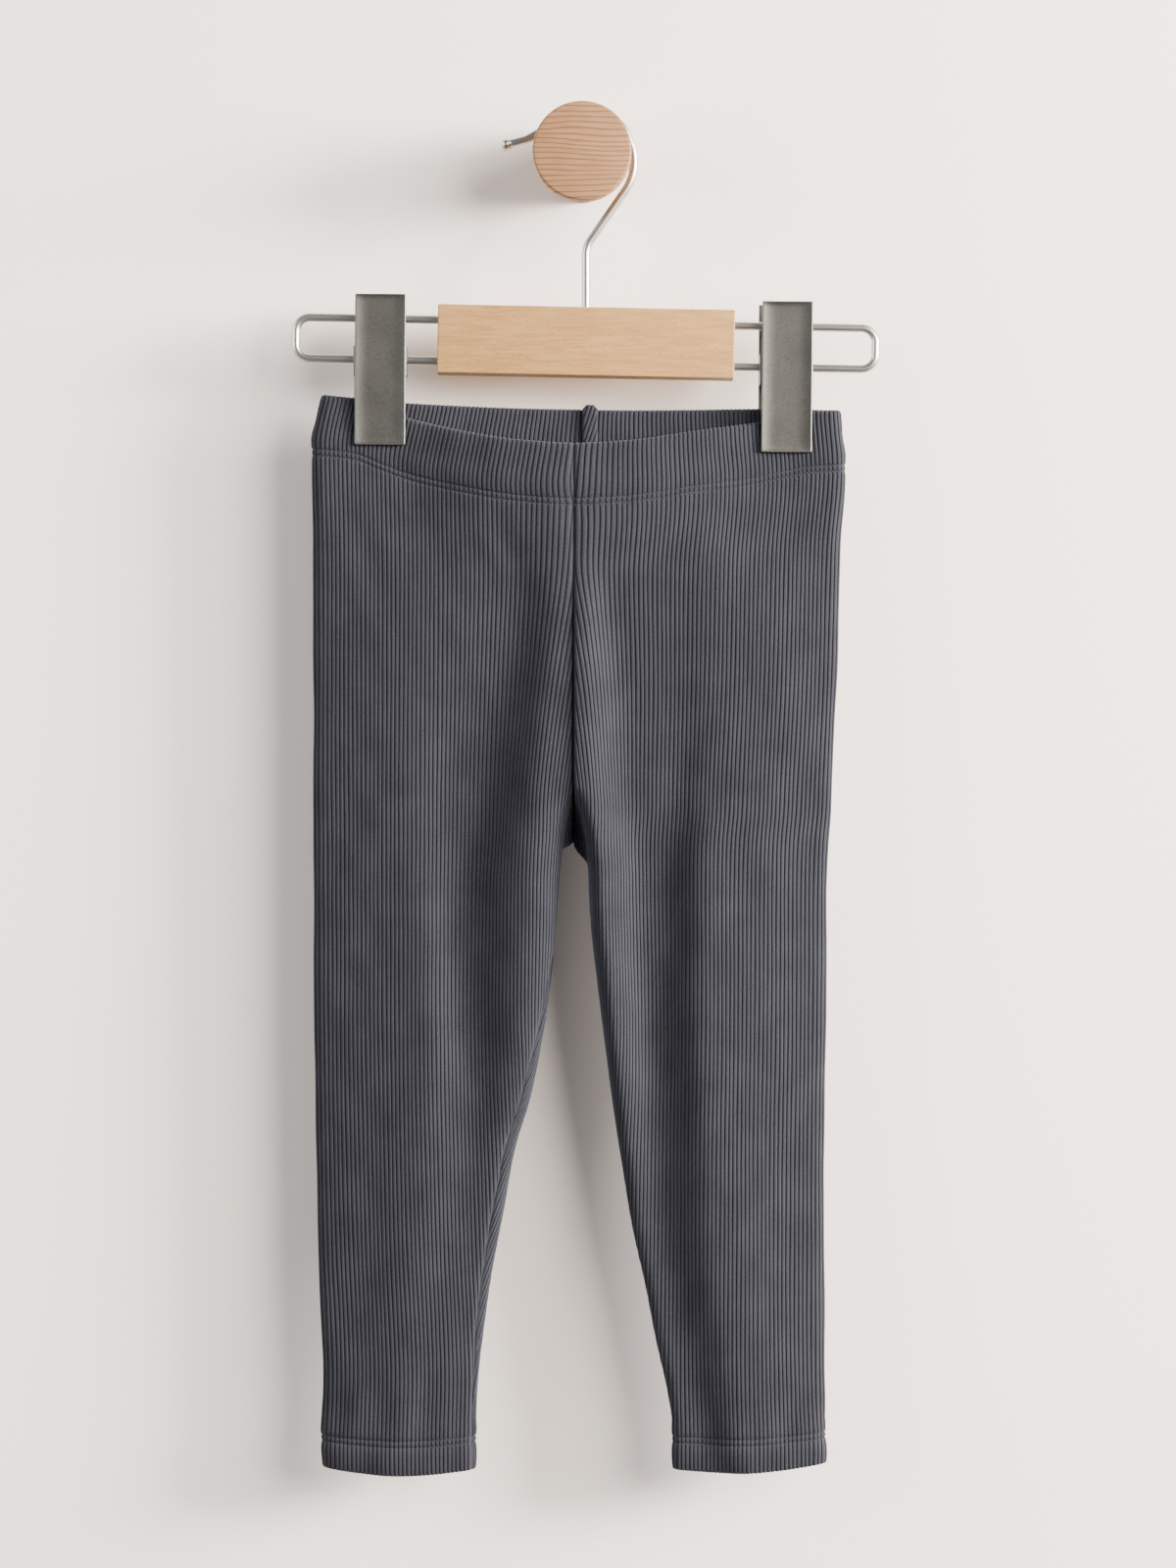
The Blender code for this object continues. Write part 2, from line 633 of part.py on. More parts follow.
def make_peg(material):
    """The wall peg, turned: its flat back on the wall, a stem, and a round disc in front."""
    stem, disc = PEG_STEM_D / 2, PEG_DISC_D / 2
    neck = PEG_LENGTH - PEG_DISC_T
    profile = [(0.0, PEG_LENGTH), (disc - 0.8, PEG_LENGTH), (disc - 0.2, PEG_LENGTH - 0.3),
               (disc, PEG_LENGTH - 0.9), (disc, neck + 0.8), (disc - 0.8, neck), (stem, neck),
               (stem, 0.0), (0.0, 0.0)]
    turned("wall_peg", profile, (0, 0, 0), (math.pi / 2, 0, 0), material, steps=48)


def main():
    knit = finish("charcoal rib knit", (0.055, 0.056, 0.066), 0.9)
    nickel = finish("satin nickel", (0.55, 0.54, 0.50), 0.32, 1.0)
    beech = finish("beech", (0.66, 0.46, 0.30), 0.55)
    make_peg(beech)
    make_block(beech)
    make_frame("frame_wire_right", -1, nickel)
    make_frame("frame_wire_left", 1, nickel)
    make_hook(nickel)
    for name, x, top in zip(("clip_right", "clip_left"), CLIP_X, CLIP_TOP_Z):
        make_clip(name, x, top, nickel)
    for word, leg in (("right", RIGHT), ("left", LEFT)):
        make_leg(f"{word}_leg", leg, knit)
        make_hem(f"hem_{word}", leg, knit)
        make_casing(f"waistband_{word}", leg, knit)
    make_seam_turning(knit)


for old in list(bpy.data.objects):
    bpy.data.objects.remove(old)
PARTS = collection("leggings on clip hanger")
CUTTERS = collection("cutters")
main()
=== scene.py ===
"""Rib-knit leggings on a clip hanger, hung from a round wooden wall peg.

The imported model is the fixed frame.  Each cloth panel is made as a grid whose columns follow the
ribs of the knit, is given its wall, and then its rib relief by a Geometry Nodes tree.  Lengths are
in millimetres until a mesh is made.  Right and left are the wearer's: the right leg is on -X.
"""
import math
from dataclasses import dataclass

import bmesh
import bpy
import numpy as np
from bpy.props import FloatProperty, FloatVectorProperty, IntProperty, PointerProperty
from mathutils import Matrix, Vector


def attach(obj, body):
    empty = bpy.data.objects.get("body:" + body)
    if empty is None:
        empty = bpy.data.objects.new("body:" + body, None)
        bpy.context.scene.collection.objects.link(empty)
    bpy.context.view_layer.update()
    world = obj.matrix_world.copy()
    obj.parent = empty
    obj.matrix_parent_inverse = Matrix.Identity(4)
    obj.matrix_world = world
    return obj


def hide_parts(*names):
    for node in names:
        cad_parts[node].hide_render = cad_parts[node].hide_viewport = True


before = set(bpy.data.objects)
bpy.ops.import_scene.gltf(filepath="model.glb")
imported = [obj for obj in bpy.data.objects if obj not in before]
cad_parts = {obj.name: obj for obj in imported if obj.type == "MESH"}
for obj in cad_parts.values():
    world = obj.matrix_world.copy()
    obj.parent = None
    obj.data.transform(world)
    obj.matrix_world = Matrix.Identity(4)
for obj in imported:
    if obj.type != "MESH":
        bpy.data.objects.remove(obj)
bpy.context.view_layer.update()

bl_info = {
    "name": "Hung rib-knit leggings",
    "version": (1, 0, 0),
    "blender": (4, 5, 0),
    "location": "3D View > Sidebar > Leggings",
    "description": "Builds rib-knit leggings on a clip hanger and a wall peg",
    "category": "Add Mesh",
}

MM = 0.001
BODY = "root"

# ---------------------------------------------------------------- sizes shared with the frame
HANG_Y = -28.0           # plane in which the hanger and the cloth hang
RIB_PITCH = 0.00196      # from rib to rib, in metres; a stitch spans one rib
FRONT_SEAM_X, BACK_SEAM_X = -3.8, 0.2      # the middle seams
WAIST_SEAM_Z = -139.3    # waist seam at x = 0, before it sags
WAIST_SLOPE = -0.030     # the waist leans with the hanger
SAG_FADES_Z = -300.0     # where the sag has died away
WAIST_FADES_Z = -205.0   # where the legs' own folds have taken over
CROTCH_Z = -315.0
HEM_SEAM_Z = -587.0
HEM_EDGE_Z = -601.8
HEM_BOW_FROM_Z = -560.0

# Waist between the side edges: how far the front and the back sag, and how far they stand off the
# hanging plane.  The clips pinch both layers at x = -92 and x = 94.
WAIST_COLUMNS = ("x", "sag", "back_sag", "front", "back")
WAIST_ROWS = (
    (-124, 0.0, 0.0, 4.0, 4.0),
    (-105, 1.5, 0.8, 3.8, 3.8),
    (-92, 6.0, 2.0, 3.6, 3.6),
    (-80, 10.0, 2.6, 4.0, 4.0),
    (-54, 15.5, 3.0, 8.6, 5.8),
    (-30, 18.8, 3.2, 11.6, 6.4),
    (-8, 19.8, 3.0, 12.8, 6.6),
    (20, 17.8, 2.6, 11.8, 6.4),
    (54, 11.8, 1.4, 8.4, 5.8),
    (81, 7.0, 0.4, 4.0, 4.0),
    (94, 3.8, 0.2, 3.6, 3.6),
    (106, 1.2, 0.0, 3.8, 3.8),
    (122, 0.0, 0.0, 4.0, 4.0),
)

# Outline of each leg seen from the front, and how far forward of the inner edge its inseam lies.
OUTLINE_COLUMNS = ("z", "outer", "inner", "inseam")
RIGHT_OUTLINE = (
    (-112, -119.4, -5.4, 0.0),
    (-136, -123.8, -5.4, 0.0),
    (-200, -123.3, -5.4, 0.0),
    (-288, -123.3, -5.4, 0.0),
    (-300, -123.2, -6.6, 0.0),
    (-315, -123.1, -9.0, 0.0),
    (-334, -123.1, -10.9, 0.0),
    (-360, -122.9, -12.8, 0.0),
    (-387, -122.9, -15.8, 1.2),
    (-409, -122.7, -19.4, 2.4),
    (-430, -122.4, -23.9, 3.4),
    (-455, -122.0, -31.0, 4.0),
    (-481, -121.5, -36.0, 4.2),
    (-508, -120.7, -41.0, 3.7),
    (-535, -119.5, -45.2, 2.9),
    (-560, -118.8, -47.9, 1.4),
    (-580, -119.2, -49.0, 1.2),
    (-603, -119.2, -48.8, 1.2),
)
LEFT_OUTLINE = (
    (-116, 118.8, -2.2, 0.0),
    (-142, 120.6, -2.2, 0.0),
    (-175, 118.5, -2.2, 0.0),
    (-240, 116.8, -2.2, 0.0),
    (-288, 114.6, -2.2, 0.0),
    (-300, 114.1, -0.8, 0.0),
    (-315, 112.8, 1.9, 0.0),
    (-325, 112.4, 3.0, 0.0),
    (-345, 112.1, 3.9, 0.0),
    (-374, 112.0, 6.8, 0.0),
    (-409, 111.7, 11.0, 0.0),
    (-442, 111.2, 15.4, 0.0),
    (-467, 111.0, 19.3, 0.0),
    (-492, 111.0, 23.4, 0.0),
    (-518, 111.0, 29.2, 0.0),
    (-543, 111.1, 34.0, 0.0),
    (-566, 111.4, 39.2, 0.0),
    (-580, 111.7, 41.3, 0.0),
    (-603, 111.7, 41.6, 0.0),
)

# Folds of each leg's front, and the fullness of its back.  Places are shares of the width, from the
# side edge (0) to the inner edge (1): a broad swell, a trough from dip_at to foot_at, and the ridge
# that runs down from the crotch close to the inner edge.
FOLD_COLUMNS = ("z", "swell_at", "swell", "dip_at", "dip", "foot_at", "crest_at", "crest", "back")
RIGHT_FOLDS = (
    (-136, 0.45, 8.0, 0.80, 8.6, 0.84, 0.950, 11.5, 6.5),
    (-190, 0.40, 7.6, 0.74, 6.8, 0.80, 0.945, 11.6, 8.0),
    (-243, 0.38, 7.2, 0.66, 5.2, 0.72, 0.920, 13.4, 9.5),
    (-288, 0.38, 7.4, 0.58, 4.4, 0.64, 0.895, 14.6, 9.5),
    (-333, 0.44, 8.8, 0.58, 4.8, 0.61, 0.880, 15.0, 8.5),
    (-378, 0.48, 9.8, 0.60, 4.8, 0.63, 0.875, 13.4, 8.0),
    (-423, 0.52, 10.4, 0.70, 5.4, 0.73, 0.915, 9.8, 8.0),
    (-468, 0.54, 9.4, 0.78, 6.4, 0.80, 0.910, 7.4, 7.6),
    (-513, 0.52, 8.6, 0.76, 7.0, 0.80, 0.905, 6.2, 7.2),
    (-560, 0.50, 7.8, 0.76, 6.8, 0.80, 0.900, 5.4, 6.6),
    (-603, 0.50, 7.4, 0.76, 6.4, 0.80, 0.900, 5.0, 6.0),
)
LEFT_FOLDS = (
    (-136, 0.45, 8.2, 0.80, 8.6, 0.86, 0.965, 11.9, 6.5),
    (-165, 0.45, 8.2, 0.78, 7.4, 0.89, 0.970, 12.6, 7.2),
    (-190, 0.44, 8.2, 0.72, 6.6, 0.88, 0.965, 13.4, 8.0),
    (-243, 0.44, 8.2, 0.64, 5.8, 0.83, 0.960, 15.8, 9.5),
    (-288, 0.47, 8.8, 0.66, 5.0, 0.80, 0.955, 17.2, 9.5),
    (-333, 0.52, 10.4, 0.69, 4.6, 0.79, 0.950, 17.0, 8.5),
    (-378, 0.54, 11.4, 0.73, 4.4, 0.79, 0.945, 15.2, 8.0),
    (-423, 0.56, 11.8, 0.77, 4.2, 0.81, 0.950, 12.0, 8.0),
    (-468, 0.58, 11.6, 0.82, 4.0, 0.84, 0.945, 6.6, 7.6),
    (-513, 0.60, 10.6, 0.86, 4.2, 0.88, 0.945, 4.8, 7.2),
    (-560, 0.56, 9.2, 0.84, 4.6, 0.87, 0.940, 4.6, 6.6),
    (-603, 0.50, 8.6, 0.82, 4.8, 0.86, 0.935, 4.6, 6.0),
)

# Where the panels are joined in the middle: the ridge's inner wall and the front edge as shares of
# the ridge's height, the back edge as a share of the back's fullness.
MIDDLE_COLUMNS = ("z", "wall", "front_end", "back_end")
MIDDLE_ROWS = (
    (-136, 0.99, 0.98, 1.00),
    (-288, 0.98, 0.96, 1.00),
    (-294, 0.80, 0.66, 1.00),
    (-302, 0.50, 0.28, 0.94),
    (-309, 0.36, 0.10, 0.55),
    (-315, 0.30, 0.02, 0.02),
    (-320, 0.28, 0.01, -0.01),
    (-603, 0.28, 0.01, -0.01),
)

# ---------------------------------------------------------------- hanger and peg
HANGER_TILT = math.radians(1.15)
WIRE_D = 3.8
WIRE_SIDES = 20
FRAME_CENTRE = (1.6, -85.4)
FRAME_HALF = 133.1
FRAME_RISE = 9.4
FRAME_CORNER = 6.5
RAIL_IN_BLOCK = 4.0
BLOCK_CENTRE = (1.8, -85.2)
BLOCK_SIZE = (136.0, 14.0, 31.4)
HOOK_SHANK_X = 1.7
CLIP_X = (-92.4, 93.8)
CLIP_PLATE = (23.2, 1.4, 69.0)
CLIP_TOP_Z = (-63.6, -67.0)
CLIP_GRIP = 4.6
CLIP_SPREAD = 7.4
BACK_PLATE_SHIFT = -1.0
DISH_DEPTH = 0.65        # how far a clip plate's face is pressed in
# The hook's knob from its tip to where it sits on the wire, as (radius, height).
KNOB = ((0.0, 4.7), (0.8, 4.65), (1.5, 4.4), (2.1, 3.95), (2.5, 3.3), (2.7, 2.5), (2.6, 1.7),
        (2.25, 1.0), (1.9, 0.6), (1.85, 0.0), (1.7, -0.3), (0.0, -0.3))
PEG_STEM_D = 34.0
PEG_DISC_D = 45.0
PEG_DISC_T = 11.0
PEG_LENGTH = 50.0


# ---------------------------------------------------------------- settings that a user may change
def a_colour(name, description, default):
    return FloatVectorProperty(name=name, description=description, default=default,
                               subtype="COLOR", size=3, min=0.0, max=1.0)


def a_length(name, description, default, precision=5):
    return FloatProperty(name=name, description=description, default=default, unit="LENGTH",
                         precision=precision)


class KnitSettings(bpy.types.PropertyGroup):
    """The cloth: its ribs, its colour and its thread."""

    rib_pitch: a_length("Rib pitch", "Distance from one rib to the next", RIB_PITCH)
    rib_height: a_length("Rib height", "Height of a rib over the groove beside it", 0.00042)
    wall: a_length("Cloth thickness", "Thickness of one layer of knit between its ribs", 0.0010)
    colour: a_colour("Knit colour", "Colour of the yarn on top of the ribs",
                     (0.0275, 0.0275, 0.0345))
    # Painted shade: the grooves get this far darker colour in place of the shade that falls down
    # between the ribs.
    groove_shade_colour: a_colour("Groove colour", "Colour down between the ribs",
                            (0.0030, 0.0030, 0.0045))
    thread_colour: a_colour("Thread colour", "Colour of the sewing thread",
                            (0.0045, 0.0045, 0.0060))


class HangerSettings(bpy.types.PropertyGroup):
    """The hanger and the peg: their metals and woods."""

    wire_colour: a_colour("Wire colour", "Colour of the satin nickel wire", (0.46, 0.44, 0.39))
    plate_colour: a_colour("Clip colour", "Colour of the clips' pewter-toned plates",
                           (0.135, 0.129, 0.114))
    beech_colour: a_colour("Beech colour", "Colour of the hanger's block", (0.350, 0.186, 0.062))
    peg_colour: a_colour("Peg colour", "Colour of the wall peg", (0.262, 0.132, 0.058))
    grain_seed: IntProperty(
        name="Grain seed", description="Chooses the run of the wood grain", default=4)


class StageSettings(bpy.types.PropertyGroup):
    """The plain studio round the object."""

    wall_colour: a_colour("Wall colour", "Colour of the wall behind", (0.90, 0.80, 0.72))
    key_power: FloatProperty(
        name="Key light", description="Power of the large soft light on the right",
        default=182.0, unit="POWER")
    fill: FloatProperty(
        name="Fill light", description="Brightness of the pale surroundings", default=0.30)
    camera_distance: a_length("Camera distance", "From the camera to the hanging plane", 1.9, 2)
    framed_height: a_length("Framed height", "Height of the picture at the hanging plane",
                            0.72, 2)


# ---------------------------------------------------------------- small helpers
def smooth(t):
    """Ease from 0 to 1 with level ends; takes numbers or arrays."""
    t = np.clip(t, 0.0, 1.0)
    return t * t * (3.0 - 2.0 * t)


def mix(a, b, t):
    return a + (b - a) * t


def bell(x, middle, width):
    """1 at the middle, and dying away to both sides over the width."""
    return np.exp(-((x - middle) / width) ** 2)


def limited_slope(before, here, after, c):
    """Slope of column c at a row; level at a peak, so that the curve never overshoots."""
    left = (here[c] - before[c]) / (here[0] - before[0]) if here is not before else None
    right = (after[c] - here[c]) / (after[0] - here[0]) if after is not here else None
    if left is None or right is None:
        return left if right is None else right
    if left * right <= 0:
        return 0.0
    return 2.0 * left * right / (left + right)


def row_at(rows, columns, key):
    """Read a table between its rows, with a smooth curve through them, as a dict of columns."""
    keys = [row[0] for row in rows]
    step = 1 if keys[-1] > keys[0] else -1
    key = min(max(key * step, keys[0] * step), keys[-1] * step) * step
    last = len(rows) - 2
    i = next((n for n in range(len(rows) - 1) if (keys[n + 1] - key) * step > 0), last)
    span = keys[i + 1] - keys[i]
    t = (key - keys[i]) / span
    before, after = rows[max(i - 1, 0)], rows[min(i + 2, len(rows) - 1)]
    h00 = (1 + 2 * t) * (1 - t) ** 2
    out = {columns[0]: key}
    for c in range(1, len(columns)):
        a, b = rows[i][c], rows[i + 1][c]
        slope_a = limited_slope(before, rows[i], rows[i + 1], c) * span
        slope_b = limited_slope(rows[i], rows[i + 1], after, c) * span
        out[columns[c]] = (h00 * a + t * (1 - t) ** 2 * slope_a
                           + (1 - h00) * b + t * t * (t - 1) * slope_b)
    return out


WAIST_X = np.linspace(-126.0, 124.0, 251)
WAIST_AT = {
    column: np.array([row_at(WAIST_ROWS, WAIST_COLUMNS, x)[column] for x in WAIST_X])
    for column in WAIST_COLUMNS[1:]
}


def waist_at(column, x):
    """The waist's table read at one place or at many."""
    return np.interp(x, WAIST_X, WAIST_AT[column])


@dataclass
class Leg:
    """One leg: its side of the body (-1 right, 1 left), its tables, the height over which its inner
    edge leaves the crotch, and how its hem's edge bows down and lifts towards the side."""

    word: str
    side: int
    outline: tuple
    folds: tuple
    parting: float
    hem_bow: float
    hem_lift: float

    def apart(self, z):
        """1 where the panel's edges lie on the middle seams, 0 where they close the inseam."""
        return 1.0 - smooth((CROTCH_Z - z) / self.parting)

    def hem_shift(self, x, z):
        """How far the cloth near the hem is moved down or up from its level ring."""
        line = row_at(self.outline, OUTLINE_COLUMNS, z)
        u = np.clip((line["outer"] - x) / (line["outer"] - line["inner"]), 0.0, 1.0)
        reach = smooth((HEM_BOW_FROM_Z - z) / (HEM_BOW_FROM_Z - HEM_EDGE_Z))
        return (self.hem_lift * (1.0 - u) ** 2 - self.hem_bow * np.sin(math.pi * u)) * reach


RIGHT = Leg("right", -1, RIGHT_OUTLINE, RIGHT_FOLDS, parting=2.4, hem_bow=3.0, hem_lift=0.8)
LEFT = Leg("left", 1, LEFT_OUTLINE, LEFT_FOLDS, parting=11.0, hem_bow=2.0, hem_lift=2.6)
LEGS = (RIGHT, LEFT)

# ---------------------------------------------------------------- sections of the cloth
SEAM_SLIT = 0.10         # what shows of a gap between two panels sewn together
EASING = ((-0.06, 1 / 16), (-0.04, 2 / 16), (-0.02, 3 / 16), (0.0, 4 / 16), (0.02, 3 / 16),
          (0.04, 2 / 16), (0.06, 1 / 16))   # places, as shares of the width, and their weights
SAMPLES = (14, 150, 26, 8)   # steps in the side roll, broad front, ridge's flank and seam lip
LINE_STEP = 0.5          # between a section's points, once they are evenly spaced
EASED_TIMES = 6


def fold_radius(z):
    """Radius of the side edge: wide at the thick waist casing, tighter down the leg."""
    waist = smooth((z + 175.0) / 38.0)
    hem = smooth((-572.0 - z) / 18.0)
    return 2.5 + 1.2 * waist + 0.7 * hem


def section(leg, z):
    """Front and back halves of a leg's section at height z, as arrays of (x, depth) from the side
    fold to the seam, with the cut moved forward to where the inseam lies."""
    roll, broad, flank, lip = SAMPLES
    side = leg.side
    line = row_at(leg.outline, OUTLINE_COLUMNS, z)
    fold = row_at(leg.folds, FOLD_COLUMNS, z)
    middle = row_at(MIDDLE_ROWS, MIDDLE_COLUMNS, z)
    pinch = 1.0 - smooth((WAIST_SEAM_Z - z) / (WAIST_SEAM_Z - WAIST_FADES_Z))
    outer, inner = line["outer"], line["inner"]
    width = abs(outer - inner)
    radius = fold_radius(z)
    arc = np.linspace(0.0, 0.5 * math.pi, roll + 1)
    start = radius / width
    ease = np.linspace(0.0, 0.5 * math.pi, flank + 1)[1:]

    def side_roll(way):
        return np.column_stack((outer - side * radius * (1 - np.cos(arc)),
                                way * radius * np.sin(arc)))

    def turn(from_x, to_x, from_depth, to_depth):
        return np.column_stack((mix(from_x, to_x, np.sin(ease)),
                                mix(to_depth, from_depth, np.cos(ease))))

    def profile(u):
        share = np.clip(u / fold["swell_at"], 0.0, 1.0)
        rise = mix(radius, fold["swell"], 0.5 * share + 0.5 * np.sin(0.5 * math.pi * share))
        fall = mix(fold["swell"], fold["dip"],
                   smooth((u - fold["swell_at"]) / (fold["dip_at"] - fold["swell_at"])))
        last = mix(fold["dip"], fold["crest"],
                   smooth((u - fold["foot_at"]) / (fold["crest_at"] - fold["foot_at"])))
        return np.where(u < fold["swell_at"], rise, np.where(u < fold["dip_at"], fall, last))

    def front_depth(u):
        """The profile with its turns eased over a few millimetres."""
        depth = sum(weight * profile(np.maximum(u + step, 0.0)) for step, weight in EASING)
        return mix(depth, waist_at("front", outer - side * u * width), pinch)

    def back_depth(u):
        x = outer - side * u * width
        depth = mix(radius, fold["back"], np.sin(0.5 * math.pi * np.clip(u / 0.55, 0, 1)))
        return mix(depth, waist_at("back", x), pinch)

    u = np.linspace(start, fold["crest_at"], broad + 1)[1:]
    lips = np.linspace(0.0, 1.0, lip + 1)[1:]
    crest_x = outer - side * fold["crest_at"] * width
    crest = float(front_depth(np.array([fold["crest_at"]]))[0])
    wall = middle["wall"] * crest
    apart = float(leg.apart(z))
    front_seam = mix(inner, FRONT_SEAM_X + side * SEAM_SLIT / 2, apart)
    front_end = middle["front_end"] * crest + SEAM_SLIT / 2
    front = np.concatenate((
        side_roll(1),
        np.column_stack((outer - side * u * width, front_depth(u))),
        turn(crest_x, inner, crest, wall),
        np.column_stack((mix(inner, front_seam, smooth(lips)), mix(wall, front_end, lips))),
    ))

    seam_x = mix(FRONT_SEAM_X, BACK_SEAM_X, middle["back_end"]) + side * SEAM_SLIT / 2
    seam_x = mix(inner, seam_x, apart)
    fullness = float(back_depth(np.array([1.0]))[0])
    turn_x = seam_x + side * (2.0 + 0.9 * fullness * (1.0 - max(0.0, middle["back_end"])))
    turn_u = (outer - turn_x) / (side * width)
    ub = np.linspace(start, turn_u, broad + 1)[1:]
    turn_depth = -float(back_depth(np.array([turn_u]))[0])
    back_end = -fullness * middle["back_end"] - SEAM_SLIT / 2 * (1.0 - middle["back_end"])
    back = np.concatenate((
        side_roll(-1),
        np.column_stack((outer - side * ub * width, -back_depth(ub))),
        turn(turn_x, seam_x, turn_depth, back_end),
    ))
    front, back = even_line(front), even_line(back)
    if line["inseam"] > 0.05:
        front, back = move_inseam(front, back, inner, side, line["inseam"])
    return front, back


def even_line(points):
    """The same line with evenly spaced points and its corners eased; its ends stay."""
    reach = lengths(points)
    count = max(8, int(reach[-1] / LINE_STEP))
    at = np.linspace(0.0, reach[-1], count + 1)
    line = np.column_stack([np.interp(at, reach, points[:, c]) for c in range(2)])
    for _ in range(EASED_TIMES):
        line[1:-1] = 0.25 * line[:-2] + 0.5 * line[1:-1] + 0.25 * line[2:]
    return line


def lengths(points):
    """Distance along a line to each of its points."""
    steps = np.linalg.norm(np.diff(points, axis=0), axis=1)
    return np.concatenate(([0.0], np.cumsum(steps)))


def move_inseam(front, back, inner, side, shift):
    """Give the strip of the front that lies within shift of the inner edge to the back."""
    inside = (front[:, 0] - inner) * side
    cut = next(i for i in range(len(front) - 1, 0, -1) if inside[i] > shift)
    strip = front[cut:][::-1]
    return front[:cut + 1], np.concatenate((back[:-1], strip))


def sag(x, z, is_front):
    """How far the cloth at x has dropped with the sagging waist, and with the hanger's lean."""
    fade = 1.0 - smooth((WAIST_SEAM_Z - z) / (WAIST_SEAM_Z - SAG_FADES_Z))
    drop = waist_at("sag" if is_front else "back_sag", x)
    return (WAIST_SLOPE * x - drop) * fade


# ---------------------------------------------------------------- cloth as a grid of ribs
RIB_PLACES = (0.0, 0.2, 0.5, 0.8)        # a rib's columns, as shares of its pitch: groove and crest
STITCH_ROWS = (-1.35, 1.35)              # the two rows of a coverstitch, off its middle line
STITCH_REACH = 0.55                      # how far from a row the cloth is pressed in by it
STITCH_PRESS = 0.50                      # how deep it is pressed in on the row itself
STITCH_FLATTENS = 0.45                   # how much lower the ribs are on the row
STITCH_DEPTH = 0.08                      # how far under the free cloth the thread runs
HEM_ROWS_MIDDLE = HEM_SEAM_Z - 1.1       # middle line of the hem's coverstitch
CASING_WALL = 2.8
# How much wider or narrower than the cloth's own width the ribs are spread at each height.
DRAWN = ((-603, -400, -330, -250, -140, -110), (-0.07, -0.07, -0.055, -0.01, 0.050, 0.010))
LEANING = ((-340, -300, -145), (0.0, -2.5, 8.0))   # how far ribs are drawn to the front seam
LEANING_REACH = 16.0                     # and how far from the seam that is felt
SEAM_GROOVE, SEAM_REACH = 0.55, 1.5      # the cloth dips this deep, this near to a seam
SEAM_FLAT = 0.9                          # its ribs end this far from the seam
GRIP_REACH = 13.0                        # how wide a clip pinches the casing
GRIP_DEPTH = 0.5
HEM_WALL = 2.5


class Ring:
    """A leg's section at one height as a single line, from the front seam round the side fold to
    the back seam, measured by its signed distance from the side fold (negative over the front)."""

    def __init__(self, leg, z):
        front, back = section(leg, z)
        self.leg = leg
        self.z = z
        self.at = np.concatenate((-lengths(front)[::-1], lengths(back)[1:]))
        self.line = np.concatenate((front[::-1], back[1:]))

    def point(self, at):
        return np.column_stack([np.interp(at, self.at, self.line[:, c]) for c in range(2)])

    def lay(self, stops, inward=0.0, drop_at=None):
        """Points, outward normals and distances to the nearer seam for columns at the stops.

        inward moves them in from the surface; drop_at is the height whose sag they follow."""
        at = drawn(stops, self.z)
        at = at - np.interp(self.z, *LEANING) * np.exp(
            -np.abs(at - self.at[0]) / LEANING_REACH)
        at = np.clip(at, self.at[0], self.at[-1])
        edge = np.minimum(at - self.at[0], self.at[-1] - at)
        run = self.point(at + 0.7) - self.point(at - 0.7)
        normal = np.column_stack((-run[:, 1], run[:, 0])) * self.leg.side
        normal /= np.linalg.norm(normal, axis=1)[:, None] + 1e-9
        place = self.point(at)
        level = self.z if drop_at is None else drop_at
        drop = np.where(at <= 0.0, sag(place[:, 0], level, True), sag(place[:, 0], level, False))
        height = self.z + drop + self.leg.hem_shift(place[:, 0], self.z)
        grip = sum(np.exp(-((place[:, 0] - x) / GRIP_REACH) ** 4) for x in CLIP_X)
        bulge = (creases(self.leg, at, self.z, edge)
                 - GRIP_DEPTH * grip * smooth((self.z - WAIST_SEAM_Z) / 5.0))
        place = place + normal * (bulge - inward)[:, None]
        points = np.column_stack((place[:, 0], HANG_Y - place[:, 1], height))
        normals = np.column_stack((normal[:, 0], -normal[:, 1], np.zeros(len(normal))))
        return points, normals, edge


# Soft creases: from (distance from the side fold, height) to the same, how deep and
# how wide.  A negative distance is on the front; a positive depth is a ridge.
RIGHT_CREASES = (
    ((-104, -205), (-78, -330), -0.9, 9.0),
    ((-64, -330), (-58, -470), 0.5, 9.0),
    ((-30, -420), (-24, -560), -0.5, 10.0),
    ((-52, -556), (-46, -580), -0.7, 6.0),
    ((-20, -566), (-14, -586), 0.6, 5.0),
    ((-88, -150), (-98, -190), -0.5, 6.0),
    ((-18, -148), (-30, -200), -0.4, 8.0),
    ((30, -200), (60, -420), 0.8, 12.0),
    ((70, -170), (90, -330), -0.8, 12.0),
)
LEFT_CREASES = (
    ((-70, -260), (-76, -420), -0.8, 9.0),
    ((-30, -180), (-26, -380), 0.6, 12.0),
    ((-52, -200), (-58, -300), -0.5, 9.0),
    ((-40, -470), (-34, -580), 0.5, 8.0),
    ((-14, -570), (-22, -588), -0.8, 5.0),
    ((-60, -560), (-54, -586), -0.5, 6.0),
    ((-22, -150), (-34, -196), -0.4, 7.0),
    ((40, -180), (66, -400), 0.8, 12.0),
    ((84, -160), (96, -320), -0.8, 12.0),
)


